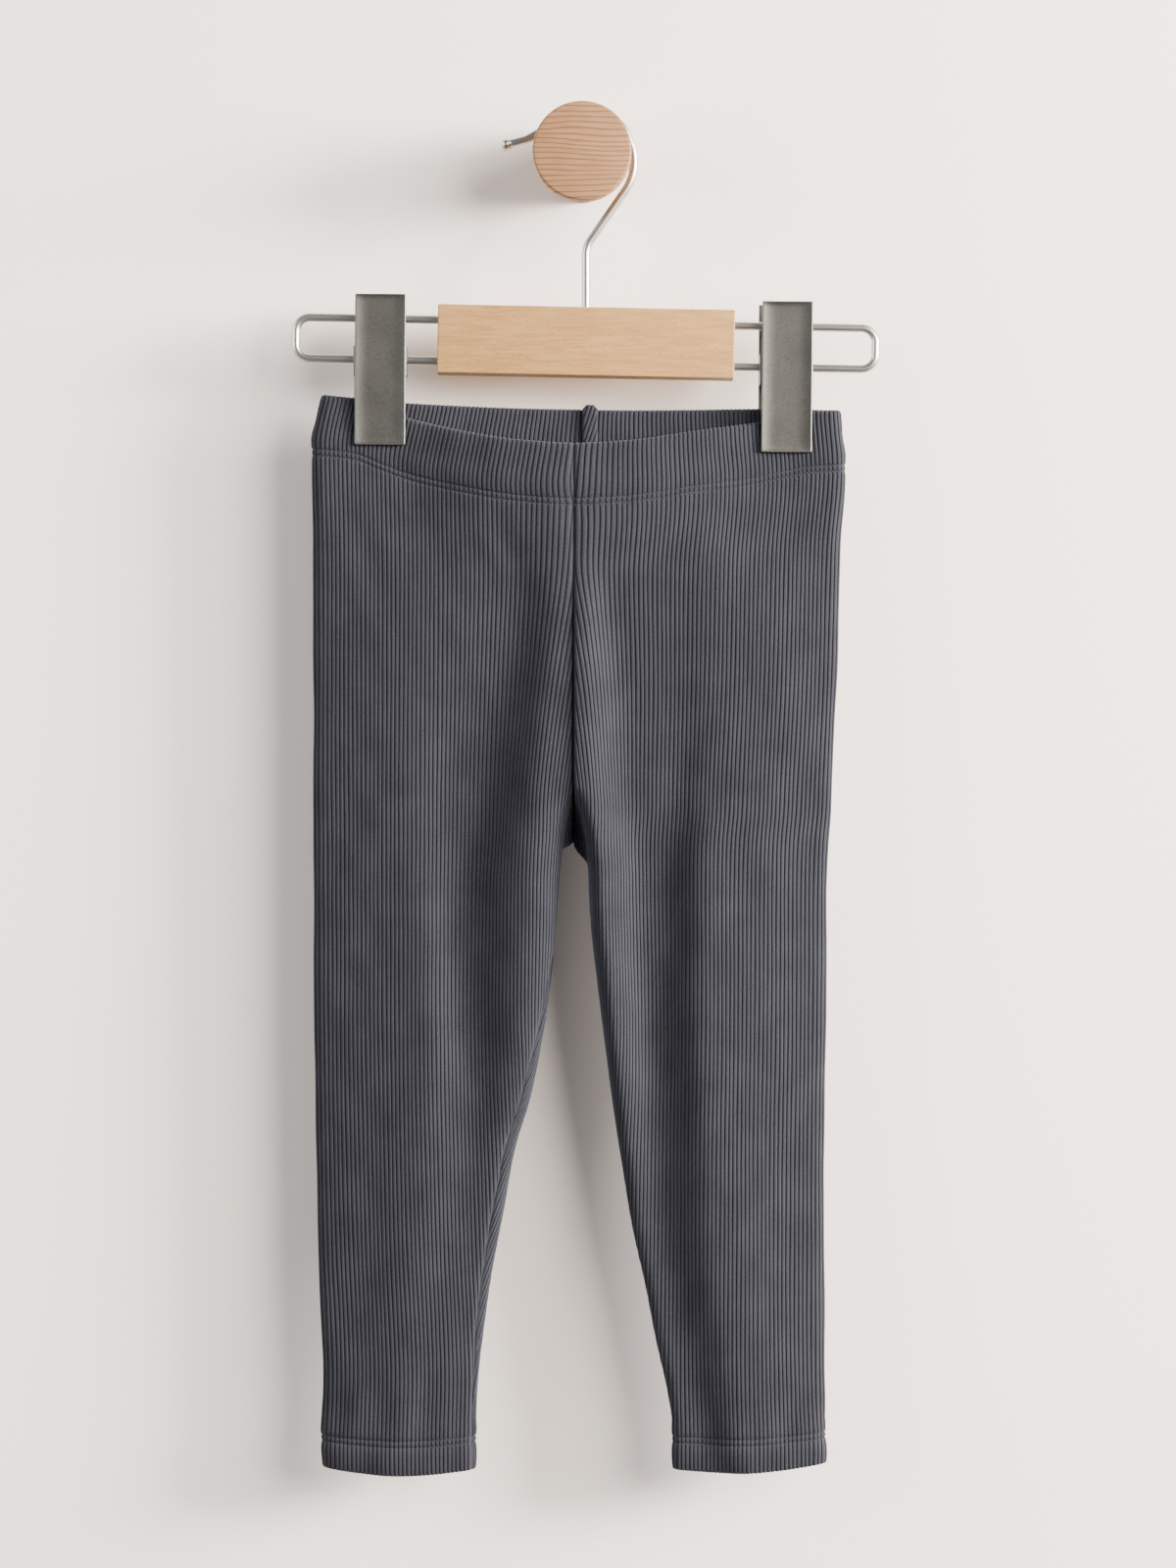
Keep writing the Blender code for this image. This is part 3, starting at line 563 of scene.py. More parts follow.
def creases(leg, at, z, edge):
    """How far the cloth stands out or in where creases and small unevenness cross it."""
    out = np.zeros(len(at))
    for start, end, depth, width in (RIGHT_CREASES if leg.side < 0 else LEFT_CREASES):
        t = (z - start[1]) / (end[1] - start[1])
        middle = mix(start[0], end[0], t)
        fade = float(smooth(t * 3.0 + 0.5) * smooth((1.0 - t) * 3.0 + 0.5))
        out += depth * fade * bell(at, middle, width)
    seed = 1.7 * leg.side
    out += 0.22 * np.sin(at / 7.3 + z / 41.0 + seed) * np.sin(z / 17.0 + at / 29.0 + seed)
    out += 0.14 * np.sin(at / 3.9 - z / 23.0 + 2.0 * seed) * np.sin(z / 9.5 - at / 15.0)
    hem = float(smooth((-560.0 - z) / 20.0))
    out += 0.35 * hem * np.sin(at / 4.6 + seed) * np.sin(z / 7.0 + at / 9.0)
    return out * smooth(edge / 9.0)


def drawn(stops, z):
    """The ribs are spread at the waist and drawn together below it, most of all near the middle
    seams; their lean in towards the seam on their way up is added where they are laid."""
    amount = np.interp(z, *DRAWN)
    return stops * (1.0 + amount * (stops / 120.0) ** 2)


def grid_over(leg, rings, pitch):
    """An empty grid that is wide enough for the widest of a piece's rings."""
    reach_front = max(-ring.at[0] for ring in rings.values())
    reach_back = max(ring.at[-1] for ring in rings.values())
    return Grid(leg, rib_stops(reach_front, reach_back, pitch))


def rib_stops(reach_front, reach_back, pitch):
    """Signed distances of a piece's columns, four to a rib, out past its widest row."""
    first, last = -math.ceil(1.09 * reach_front / pitch), math.ceil(1.09 * reach_back / pitch)
    return ((np.arange(first, last)[:, None] + np.array(RIB_PLACES)) * pitch).ravel()


def wobble(stops, z):
    """Ribs never run quite straight: how far each is moved sideways at a height."""
    rib = np.floor(stops * MM / RIB_PITCH + 0.001)
    return (0.10 * np.sin(z / 31.0 + rib * 0.37) + 0.07 * np.sin(z / 11.0 + rib * 1.9)
            + 0.05 * np.sin(rib * 7.7))


def pressed(z, rows):
    """1 on a row of stitches and 0 away from it."""
    return max(bell(z, row, STITCH_REACH) for row in rows)


class Grid:
    """Rows of a closed piece of cloth, laid down its outside and up its inside."""

    def __init__(self, leg, stops):
        self.leg = leg
        self.stops = stops
        self.points, self.masks, self.along, self.inside = [], [], [], []

    def row(self, ring, along, inward=0.0, lift=0.0, mask=1.0, inside=False, drop_at=None):
        """Add a row at a ring, moved in and up; mask is how far its ribs stand up."""
        sway = wobble(self.stops, ring.z)
        points, normals, edge = ring.lay(self.stops + sway, inward, drop_at)
        groove = 0.0 if inside else SEAM_GROOVE
        points -= normals * (groove * (1.0 - smooth(edge / SEAM_REACH)))[:, None]
        points[:, 2] += lift
        self.points.append(points)
        self.masks.append(mask * smooth(edge / SEAM_FLAT))
        self.along.append(np.full(len(points), along))
        self.inside.append(inside)

    def mesh(self, name):
        """Make the closed mesh, with the attributes that its pattern needs."""
        count, wide = len(self.points), len(self.stops)
        index = np.arange(count * wide).reshape(count, wide)
        below = np.roll(index, -1, axis=0)
        quads = np.stack((index[:, :-1], index[:, 1:], below[:, 1:], below[:, :-1]), axis=-1)
        faces = quads.reshape(-1, 4).tolist()
        for column in (0, wide - 1):
            faces += self.cap(column, wide)
        mesh = bpy.data.meshes.new(name)
        mesh.from_pydata((np.concatenate(self.points) * MM).tolist(), [], faces)
        across = np.tile(self.stops, count)
        for key, values in (("across", across), ("along", np.concatenate(self.along)),
                            ("relief", np.concatenate(self.masks))):
            mesh.attributes.new(key, "FLOAT", "POINT").data.foreach_set("value", values)
        close(mesh)
        return mesh

    def cap(self, column, wide):
        """Faces that close the edge at one column, between the outside's rows and the inside's."""
        outer = [n for n, inside in enumerate(self.inside) if not inside]
        inner = [n for n, inside in enumerate(self.inside) if inside][::-1]
        faces = []
        top = 0
        for upper, lower in zip(inner, inner[1:]):
            level = self.along[lower][0]
            low = top
            while low + 1 < len(outer) and self.along[outer[low + 1]][0] <= level:
                low += 1
            ring = [outer[n] for n in range(top, low + 1)] + [lower, upper]
            if len(ring) > 2:
                faces.append([n * wide + column for n in ring])
            top = low
        ring = [outer[n] for n in range(top, len(outer))] + [inner[-1]]
        if len(ring) > 2:
            faces.append([n * wide + column for n in ring])
        return faces


def close(mesh):
    """Merge columns that meet on a seam, and turn every face outwards."""
    work = bmesh.new()
    work.from_mesh(mesh)
    bmesh.ops.remove_doubles(work, verts=work.verts, dist=0.004 * MM)
    bmesh.ops.dissolve_degenerate(work, edges=work.edges, dist=0.002 * MM)
    bmesh.ops.recalc_face_normals(work, faces=work.faces)
    work.to_mesh(mesh)
    work.free()
    mesh.shade_smooth()


def spaced(start, end, step):
    """Evenly spaced numbers from start to end, both included."""
    count = max(1, round(abs(end - start) / step))
    return [mix(start, end, n / count) for n in range(count + 1)]


def leg_heights():
    """Heights of a leg's rows: closer at the stitches, round the crotch and near the hem."""
    heights = set(spaced(-144.0, -284.0, 5.0) + spaced(-284.0, -324.0, 1.6))
    heights |= set(spaced(-324.0, -348.0, 3.0) + spaced(-348.0, -584.0, 5.2))
    heights |= {WAIST_SEAM_Z, -139.8, -140.2, -140.65, -141.1, -141.6, -142.6}
    for row in STITCH_ROWS:
        heights |= {HEM_ROWS_MIDDLE + row + off for off in (-0.9, -0.45, 0.0, 0.45, 0.9)}
    heights |= {-593.0, -596.5}
    return sorted(heights, reverse=True)


def leg_grid(leg, pitch, wall):
    """One leg with its turned-up hem: down the outside, round the bottom edge and up the inside."""
    heights = leg_heights()
    bend = HEM_WALL / 2
    rings = {z: Ring(leg, z) for z in heights + [HEM_EDGE_Z + bend, HEM_EDGE_Z]}
    grid = grid_over(leg, rings, pitch)
    hem_rows = [HEM_ROWS_MIDDLE + row for row in STITCH_ROWS]
    waist_row = WAIST_SEAM_Z + STITCH_ROWS[0]
    for z in heights:
        pull = pressed(z, hem_rows + [waist_row])
        puff = (0.35 * bell(z, HEM_ROWS_MIDDLE + 3.4, 2.0)
                + 0.45 * bell(z, HEM_ROWS_MIDDLE - 6.5, 4.0))
        grid.row(rings[z], WAIST_SEAM_Z - z, inward=STITCH_PRESS * pull - puff,
                 mask=1.0 - STITCH_FLATTENS * pull)
    edge = rings[HEM_EDGE_Z + bend]
    depth = WAIST_SEAM_Z - HEM_EDGE_Z
    for n in range(5):
        turn = math.pi * n / 4
        grid.row(edge, depth + 0.01 * n, inward=bend * (1.0 - math.cos(turn)) - 0.1,
                 lift=-bend * math.sin(turn), mask=0.9, inside=n == 4)
    for z in (-597.0, -592.0, HEM_ROWS_MIDDLE - 1.6, HEM_ROWS_MIDDLE + 1.8):
        ring = Ring(leg, z)
        grid.row(ring, WAIST_SEAM_Z - z, inward=HEM_WALL, mask=0.8, inside=True)
    upward = [z for z in heights if z > HEM_ROWS_MIDDLE + 2.4]
    kept = upward[::-1][::3] + [upward[0]]
    for z in sorted(set(kept)):
        grid.row(rings[z], WAIST_SEAM_Z - z, inward=wall, mask=0.0, inside=True)
    return grid


def casing_grid(leg, pitch):
    """Half of the waist casing: up its outside, over the top edge and down its inside."""
    rise = (0.0, 0.5, 0.9, 1.35, 1.8, 2.4, 3.6, 6.0, 9.5, 13.0, 16.5, 20.0, 23.0, 25.1)
    rings = {r: Ring(leg, WAIST_SEAM_Z + r) for r in rise}
    grid = grid_over(leg, rings, pitch)
    bend = CASING_WALL / 2

    def puff(r):
        return 0.7 * bell(r, 7.0, 4.5) + 0.25 * bell(r, 21.0, 4.0)

    for r in rise[::-1]:
        pull = pressed(r, (STITCH_ROWS[1],))
        grid.row(rings[r], rise[-1] - r, inward=STITCH_PRESS * pull - puff(r),
                 mask=1.0 - STITCH_FLATTENS * pull, drop_at=WAIST_SEAM_Z)
    for n, r in enumerate((0.6, 3.0, 6.0, 9.5, 13.0, 16.5, 20.0, 23.0)):
        ring = Ring(leg, WAIST_SEAM_Z + r)
        grid.row(ring, rise[-1] - r, inward=CASING_WALL - 0.3 * (n == 0), mask=float(n > 0),
                 inside=True, drop_at=WAIST_SEAM_Z)
    top = rings[rise[-1]]
    for n in range(6, 0, -1):
        turn = math.pi * n / 6
        grid.row(top, 0.01 * (6 - n) - 0.06, inward=bend * (1.0 - math.cos(turn)),
                 lift=bend * math.sin(turn), mask=1.0, inside=True, drop_at=WAIST_SEAM_Z)
    return grid


# ---------------------------------------------------------------- building node trees
def node(tree, kind, inputs=(), **options):
    """Add a node; inputs are (socket, value) pairs, and a value may be another node's output."""
    made = tree.nodes.new(kind)
    for key, value in options.items():
        setattr(made, key, value)
    for socket, value in inputs:
        if isinstance(value, bpy.types.NodeSocket):
            tree.links.new(value, made.inputs[socket])
        else:
            made.inputs[socket].default_value = value
    return made


def sums(tree, operation, a, b=0.0, c=0.0, clamp=False):
    """A Math node's output."""
    return node(tree, "ShaderNodeMath", ((0, a), (1, b), (2, c)), operation=operation,
                use_clamp=clamp).outputs[0]


def times(tree, a, b):
    return sums(tree, "MULTIPLY", a, b)


def weighed(tree, a, share_a, b, share_b):
    """Two values added in the given shares."""
    return sums(tree, "ADD", times(tree, a, share_a), times(tree, b, share_b))


def ranged(tree, value, low, high, to_low=0.0, to_high=1.0):
    return node(tree, "ShaderNodeMapRange", (("Value", value), ("From Min", low),
                                             ("From Max", high), ("To Min", to_low),
                                             ("To Max", to_high))).outputs[0]


def noise(tree, vector, scale, detail, *more, dimensions="3D"):
    """A Noise Texture's value."""
    return node(tree, "ShaderNodeTexNoise", (("Vector", vector), ("Scale", scale),
                                             ("Detail", detail), *more),
                noise_dimensions=dimensions).outputs["Fac"]


def attribute(tree, name, kind="FLOAT"):
    """A named attribute of the geometry."""
    return node(tree, "GeometryNodeInputNamedAttribute", (("Name", name),),
                data_type=kind).outputs["Attribute"]


def hand_out(tree, leave, values):
    """Link a group's results to its output sockets."""
    for key, socket in values.items():
        tree.links.new(socket, leave.inputs[key])
    return tree


def hand_out_geometry(tree, enter, leave, geometry):
    """End a Geometry Nodes tree: real geometry that has the material it was given."""
    real = node(tree, "GeometryNodeRealizeInstances", (("Geometry", geometry),))
    done = node(tree, "GeometryNodeSetMaterial", (("Geometry", real.outputs[0]),
                                                  ("Material", enter.outputs["Material"])))
    return hand_out(tree, leave, {"Geometry": done.outputs[0]})


def new_group(name, kind, inputs, outputs):
    """A node group with its named sockets; inputs are (name, kind of socket, default)."""
    tree = bpy.data.node_groups.new(name, kind)
    for title, socket, default in inputs:
        made = tree.interface.new_socket(title, in_out="INPUT", socket_type="NodeSocket" + socket)
        if default is not None:
            made.default_value = default
    for title, socket in outputs:
        tree.interface.new_socket(title, in_out="OUTPUT", socket_type="NodeSocket" + socket)
    return tree, tree.nodes.new("NodeGroupInput"), tree.nodes.new("NodeGroupOutput")


def rib_tree():
    """Geometry Nodes: raise the ribs of a piece of cloth along its normals."""
    tree, enter, leave = new_group(
        "Rib relief", "GeometryNodeTree",
        (("Geometry", "Geometry", None), ("Pitch", "Float", 0.00196),
         ("Height", "Float", 0.0004), ("Material", "Material", None)),
        (("Geometry", "Geometry"),))
    metres = times(tree, attribute(tree, "across"), MM)
    turn = times(tree, sums(tree, "DIVIDE", metres, enter.outputs["Pitch"]), math.pi)
    groove = sums(tree, "POWER", sums(tree, "ABSOLUTE", sums(tree, "COSINE", turn)), 8.0)
    height = times(tree, sums(tree, "SUBTRACT", 1.0, groove), attribute(tree, "relief"))
    lift = times(tree, height, enter.outputs["Height"])
    normal = node(tree, "GeometryNodeInputNormal")
    offset = node(tree, "ShaderNodeVectorMath", ((0, normal.outputs["Normal"]), ("Scale", lift)),
                  operation="SCALE")
    moved = node(tree, "GeometryNodeSetPosition", (("Geometry", enter.outputs["Geometry"]),
                                                   ("Offset", offset.outputs["Vector"])))
    return hand_out_geometry(tree, enter, leave, moved.outputs[0])


def stitch_tree():
    """Geometry Nodes: lay thread stitches end to end along guide lines."""
    tree, enter, leave = new_group(
        "Stitch rows", "GeometryNodeTree",
        (("Geometry", "Geometry", None), ("Spacing", "Float", 0.0023),
         ("Stitch", "Object", None), ("Seed", "Int", 3),
         ("Material", "Material", None)),
        (("Geometry", "Geometry"),))
    lines = node(tree, "GeometryNodeMeshToCurve", (("Mesh", enter.outputs["Geometry"]),))
    even = node(tree, "GeometryNodeResampleCurve", (("Curve", lines.outputs[0]),
                                                    ("Length", enter.outputs["Spacing"])),
                mode="LENGTH")
    along = node(tree, "GeometryNodeInputTangent")
    first = node(tree, "FunctionNodeAlignRotationToVector", (("Vector", along.outputs[0]),),
                 axis="X")
    both = node(tree, "FunctionNodeAlignRotationToVector",
                (("Rotation", first.outputs[0]),
                 ("Vector", attribute(tree, "out", "FLOAT_VECTOR"))),
                axis="Z", pivot_axis="X")
    shape = node(tree, "GeometryNodeObjectInfo", (("Object", enter.outputs["Stitch"]),))
    size = node(tree, "FunctionNodeRandomValue", ((2, 0.88), (3, 1.1),
                                                  ("Seed", enter.outputs["Seed"])),
                data_type="FLOAT")
    laid = node(tree, "GeometryNodeInstanceOnPoints",
                (("Points", even.outputs[0]), ("Instance", shape.outputs["Geometry"]),
                 ("Rotation", both.outputs[0]), ("Scale", size.outputs[1])))
    return hand_out_geometry(tree, enter, leave, laid.outputs[0])


def grown(source, name, tree, values):
    """Run a Geometry Nodes tree on an object once, and keep the result as a plain mesh object."""
    modifier = source.modifiers.new(tree.name, "NODES")
    modifier.node_group = tree
    for item in tree.interface.items_tree:
        if item.item_type == "SOCKET" and item.in_out == "INPUT" and item.name in values:
            modifier[item.identifier] = values[item.name]
    graph = bpy.context.evaluated_depsgraph_get()
    mesh = bpy.data.meshes.new_from_object(source.evaluated_get(graph), depsgraph=graph)
    mesh.name = name
    source.modifiers.remove(modifier)
    bpy.data.objects.remove(source)
    return mesh


def placed(name, mesh):
    made = bpy.data.objects.new(name, mesh)
    bpy.context.scene.collection.objects.link(made)
    return made


def cloth_map(mesh):
    """UV map that follows the cloth, in metres: across the ribs and along them."""
    placing = np.empty((2, len(mesh.vertices)))
    for values, key in zip(placing, ("across", "along")):
        mesh.attributes[key].data.foreach_get("value", values)
    corner = np.empty(len(mesh.loops), dtype=np.int32)
    mesh.loops.foreach_get("vertex_index", corner)
    layer = mesh.uv_layers.new(name="cloth")
    layer.data.foreach_set("uv", (placing[:, corner].T * MM).ravel())


def ribbed(name, grid, material, knit):
    """Turn a grid into a piece of cloth with its ribs raised and its pattern's map."""
    source = placed(name + "_grid", grid.mesh(name + "_grid"))
    tree = bpy.data.node_groups.get("Rib relief") or rib_tree()
    mesh = grown(source, name, tree, {"Pitch": knit.rib_pitch, "Height": knit.rib_height,
                                      "Material": material})
    cloth_map(mesh)
    mesh.set_sharp_from_angle(angle=math.radians(62.0))
    return placed(name, mesh)


# ---------------------------------------------------------------- shaders
def pattern_group():
    """Shared knit pattern from a UV map in metres: how high on a rib, the loops and the melange."""
    tree, enter, leave = new_group(
        "Rib knit pattern", "ShaderNodeTree",
        (("Vector", "Vector", None), ("Pitch", "Float", 0.00196),
         ("Loop", "Float", 0.0011)),
        (("Rib", "Float"), ("Loops", "Float"), ("Melange", "Float")))
    parts = node(tree, "ShaderNodeSeparateXYZ", ((0, enter.outputs["Vector"]),))
    cell = sums(tree, "DIVIDE", parts.outputs["X"], enter.outputs["Pitch"])
    wave = sums(tree, "ABSOLUTE", sums(tree, "COSINE", times(tree, cell, math.pi)))
    rib = sums(tree, "SUBTRACT", 1.0, sums(tree, "POWER", wave, 5.0))
    half = sums(tree, "ABSOLUTE", sums(tree, "SINE", times(tree, cell, 2 * math.pi)))
    rise = sums(tree, "DIVIDE", parts.outputs["Y"], enter.outputs["Loop"])
    slant = sums(tree, "ADD", rise, times(tree, wave, 0.8))
    arc = sums(tree, "ABSOLUTE", sums(tree, "SINE", times(tree, slant, math.pi)))
    loops = times(tree, sums(tree, "POWER", arc, 0.6), sums(tree, "ADD", 0.35, half))
    flecks = noise(tree, enter.outputs["Vector"], 1350.0, 3.0, ("Roughness", 0.65))
    clouds = noise(tree, enter.outputs["Vector"], 55.0, 2.0)
    return hand_out(tree, leave, {"Rib": rib, "Loops": loops,
                                  "Melange": weighed(tree, flecks, 0.75, clouds, 0.25)})


def grain_group():
    """Shared wood grain from object coordinates, the grain running along X."""
    tree, enter, leave = new_group(
        "Wood grain", "ShaderNodeTree",
        (("Vector", "Vector", None), ("Seed", "Float", 4.0),
         ("Flecks", "Float", 1.0)),
        (("Grain", "Float"), ("Fleck", "Float"), ("Rings", "Float")))

    def streaks(along, scale, detail, seed):
        """Noise drawn out along the grain."""
        shape = node(tree, "ShaderNodeMapping", (("Vector", enter.outputs["Vector"]),
                                                 ("Scale", (along, 1.0, 1.0))))
        return noise(tree, shape.outputs[0], scale, detail,
                     ("W", sums(tree, "ADD", enter.outputs["Seed"], seed)), dimensions="4D")

    grain = weighed(tree, streaks(0.09, 900.0, 3.0, 0.0), 0.8, streaks(0.12, 120.0, 2.0, 7.0), 0.2)
    dashes = ranged(tree, streaks(0.24, 1900.0, 1.0, 13.0), 0.58, 0.68)
    parts = node(tree, "ShaderNodeSeparateXYZ", ((0, enter.outputs["Vector"]),))
    bent = weighed(tree, parts.outputs["Z"], 390.0, streaks(0.35, 34.0, 2.0, 21.0), 5.5)
    ring = sums(tree, "FRACT", bent)
    late = sums(tree, "POWER", ranged(tree, ring, 0.62, 0.97), 1.5)
    after = times(tree, ranged(tree, ring, 0.0, 0.07, 1.0, 0.0), 0.8)
    return hand_out(tree, leave, {
        "Grain": grain, "Fleck": times(tree, dashes, enter.outputs["Flecks"]),
        "Rings": sums(tree, "MAXIMUM", late, after)})


def wear_group():
    """Shared mottle for metal and thread: fine satin grain and soft clouding."""
    tree, enter, leave = new_group(
        "Satin mottle", "ShaderNodeTree",
        (("Vector", "Vector", None), ("Fine", "Float", 1500.0), ("Soft", "Float", 60.0)),
        (("Grain", "Float"), ("Clouds", "Float")))
    place = enter.outputs["Vector"]
    return hand_out(tree, leave, {"Grain": noise(tree, place, enter.outputs["Fine"], 2.0),
                                  "Clouds": noise(tree, place, enter.outputs["Soft"], 3.0)})


def pattern_node(tree, name, make, vector, *inputs):
    """A shared pattern laid out by the given coordinates."""
    group = bpy.data.node_groups.get(name) or make()
    return node(tree, "ShaderNodeGroup", (("Vector", vector), *inputs), node_tree=group)


def own_place(tree):
    """The piece's own coordinates."""
    return node(tree, "ShaderNodeTexCoord").outputs["Object"]


def tinted(colour, *shares):
    """A colour made lighter or darker, by one share or by one for each channel."""
    return tuple(min(1.0, c * f) for c, f in zip(colour, shares * (3 // len(shares))))


def shader(name):
    """A new material: its tree, its Principled shader and the material."""
    material = bpy.data.materials.new(name)
    material.use_nodes = True
    tree = material.node_tree
    return material, tree, tree.nodes["Principled BSDF"]


def blend_colours(tree, share, a, b):
    mixed = node(tree, "ShaderNodeMix", (("Factor", share),), data_type="RGBA")
    for socket, value in ((6, a), (7, b)):
        if isinstance(value, bpy.types.NodeSocket):
            tree.links.new(value, mixed.inputs[socket])
        else:
            mixed.inputs[socket].default_value = (*value, 1.0)
    return mixed.outputs[2]


def finish_surface(tree, surface, colour, values, bump):
    """Give a shader its colour, its plain values and a bump of (strength, distance, height)."""
    tree.links.new(colour, surface.inputs["Base Color"])
    for key, value in values.items():
        surface.inputs[key].default_value = value
    if bump:
        made = node(tree, "ShaderNodeBump", tuple(zip(("Strength", "Distance", "Height"), bump)))
        tree.links.new(made.outputs[0], surface.inputs["Normal"])


def knit_material(knit):
    """Charcoal rib knit with mixed fibres; painted shade darkens its grooves and the hollows
    between its small loops.
    """
    found = bpy.data.materials.get("charcoal rib knit visual")
    if found:
        return found
    material, tree, surface = shader("charcoal rib knit visual")
    where = node(tree, "ShaderNodeUVMap", uv_map="cloth").outputs[0]
    pattern = pattern_node(tree, "Rib knit pattern", pattern_group, where,
                           ("Pitch", knit.rib_pitch))
    relief = node(tree, "ShaderNodeAttribute", attribute_name="relief")
    # Painted shade, weaker where the ribs are pressed flat: depth is how far down a groove a point
    # lies.
    depth = times(tree, sums(tree, "SUBTRACT", 1.0, pattern.outputs["Rib"]),
                  ranged(tree, relief.outputs["Fac"], 0.0, 1.0, 0.45, 1.0))
    crest = sums(tree, "SUBTRACT", 1.0, depth, clamp=True)
    fibres = blend_colours(tree, ranged(tree, pattern.outputs["Melange"], 0.36, 0.64),
                           tinted(knit.colour, 0.58), tinted(knit.colour, 1.42))
    # Painted shade between the knit's loops: the fibres' colour is blended part way to the dark
    # groove shade colour there.
    loop_shaded = blend_colours(tree, ranged(tree, pattern.outputs["Loops"], 0.15, 0.9, 0.55, 1.0),
                           knit.groove_shade_colour, fibres)
    # Painted shade down the grooves: the colour goes to the dark groove shade colour between the
    # ribs.
    colour = blend_colours(tree, crest, knit.groove_shade_colour, loop_shaded)
    height = weighed(tree, pattern.outputs["Loops"], 0.6, pattern.outputs["Melange"], 0.5)
    values = {"Roughness": 0.92, "Specular IOR Level": 0.18, "Sheen Weight": 0.12,
              "Sheen Roughness": 0.45, "Sheen Tint": (0.75, 0.76, 0.85, 1.0)}
    finish_surface(tree, surface, colour, values, (0.5, 0.00025, height))
    return material


def thread_material(knit):
    material, tree, surface = shader("charcoal thread")
    mottle = pattern_node(tree, "Satin mottle", wear_group, own_place(tree),
                          ("Fine", 1500.0), ("Soft", 60.0))
    colour = blend_colours(tree, ranged(tree, mottle.outputs["Grain"], 0.35, 0.65),
                           tinted(knit.thread_colour, 0.6), tuple(knit.thread_colour))
    finish_surface(tree, surface, colour, {"Roughness": 0.75, "Sheen Weight": 0.1}, None)
    return material


def wood_material(name, colour, seed, rings, flecks):
    """Oiled beech; rings is how strongly growth rings show, flecks the short dark rays."""
    material, tree, surface = shader(name)
    grain = pattern_node(tree, "Wood grain", grain_group, own_place(tree),
                         ("Seed", float(seed)), ("Flecks", flecks))
    base = blend_colours(tree, ranged(tree, grain.outputs["Grain"], 0.38, 0.62),
                         tinted(colour, 0.86, 0.82, 0.78), tinted(colour, 1.10))
    ringed = blend_colours(tree, times(tree, grain.outputs["Rings"], rings), base,
                           tinted(colour, 0.42, 0.32, 0.25))
    flecked = blend_colours(tree, times(tree, grain.outputs["Fleck"], 0.75), ringed,
                            tinted(colour, 0.74, 0.64, 0.55))
    finish_surface(tree, surface, flecked, {"Roughness": 0.58, "Specular IOR Level": 0.3},
                   (0.25, 0.0002, grain.outputs["Grain"]))
    return material


def metal_material(name, colour, roughness, mottled):
    """Satin plated metal with a fine grain."""
    material, tree, surface = shader(name)
    mottle = pattern_node(tree, "Satin mottle", wear_group, own_place(tree),
                          ("Fine", 1500.0), ("Soft", 60.0))
    both = weighed(tree, mottle.outputs["Grain"], 0.85, mottle.outputs["Clouds"], 0.15)
    shown = blend_colours(tree, ranged(tree, both, 0.36, 0.64),
                          tinted(colour, 1.0 - 0.16 * mottled),
                          tinted(colour, 1.0 + 0.12 * mottled))
    rough = ranged(tree, mottle.outputs["Clouds"], 0.3, 0.7, roughness - 0.02, roughness + 0.02)
    tree.links.new(rough, surface.inputs["Roughness"])
    finish_surface(tree, surface, shown, {"Metallic": 1.0},
                   (0.12 * mottled, 0.0001, mottle.outputs["Grain"]))
    return material


# ---------------------------------------------------------------- solid pieces
def lean(x, z):
    """A place on the level hanger, turned with the hanger about the frame's middle."""
    cx, cz = FRAME_CENTRE
    dx, dz = x - cx, z - cz
    c, s = math.cos(HANGER_TILT), math.sin(HANGER_TILT)
    return cx + dx * c + dz * s, cz - dx * s + dz * c


def rounded_route(corners, steps=14):
    """Points along straight runs joined by arcs; a corner is (x, z, radius)."""
    points = [Vector(corners[0][:2])]
    for before, here, after in zip(corners, corners[1:], corners[2:]):
        p = Vector(here[:2])
        back = (Vector(before[:2]) - p).normalized()
        on = (Vector(after[:2]) - p).normalized()
        half = 0.5 * back.angle(on)
        reach = here[2] / math.tan(half)
        centre = p + (back + on).normalized() * (here[2] / math.sin(half))
        first, final = p + back * reach - centre, p + on * reach - centre
        sweep = first.angle_signed(final)
        for n in range(steps + 1):
            turn = -sweep * n / steps
            c, s = math.cos(turn), math.sin(turn)
            points.append(centre + Vector((first.x * c - first.y * s, first.x * s + first.y * c)))
    points.append(Vector(corners[-1][:2]))
    return points


def angles(sides):
    return [2 * math.pi * k / sides for k in range(sides)]


def skin(work, rings):
    """Close rings of vertices, one after another, into a body; a ring of one is a point."""
    for one, two in zip(rings, rings[1:]):
        for k in range(max(len(one), len(two))):
            corners = (one[k % len(one)], one[(k + 1) % len(one)],
                       two[(k + 1) % len(two)], two[k % len(two)])
            work.faces.new(tuple(dict.fromkeys(corners)))
    for end in (rings[0], rings[-1]):
        if len(end) > 1:
            work.faces.new(end)
    bmesh.ops.recalc_face_normals(work, faces=work.faces)


def tube(name, points, material):
    """A round wire along (x, z) points in the hanging plane, closed at both ends."""
    work = bmesh.new()
    rings = []
    for n, p in enumerate(points):
        before, after = points[max(n - 1, 0)], points[min(n + 1, len(points) - 1)]
        run = (after - before).normalized()
        side = Vector((-run.y, 0.0, run.x))
        centre = Vector((p.x, HANG_Y, p.y))
        spokes = [side * math.cos(a) + Vector((0, 1, 0)) * math.sin(a) for a in angles(WIRE_SIDES)]
        rings.append([work.verts.new((centre + spoke * WIRE_D / 2) * MM) for spoke in spokes])
    skin(work, rings)
    return solid(name, work, material)


def solid(name, work, material):
    """Finish a bmesh as an object with smooth faces and its sharp edges kept."""
    mesh = bpy.data.meshes.new(name)
    work.to_mesh(mesh)
    work.free()
    mesh.materials.append(material)
    mesh.shade_smooth()
    mesh.set_sharp_from_angle(angle=math.radians(40.0))
    return placed(name, mesh)


def set_at(centre, turn):
    """The matrix that turns about X and then Y, and moves to a centre."""
    return (Matrix.Translation(centre) @ Matrix.Rotation(turn[1], 4, "Y")
            @ Matrix.Rotation(turn[0], 4, "X"))


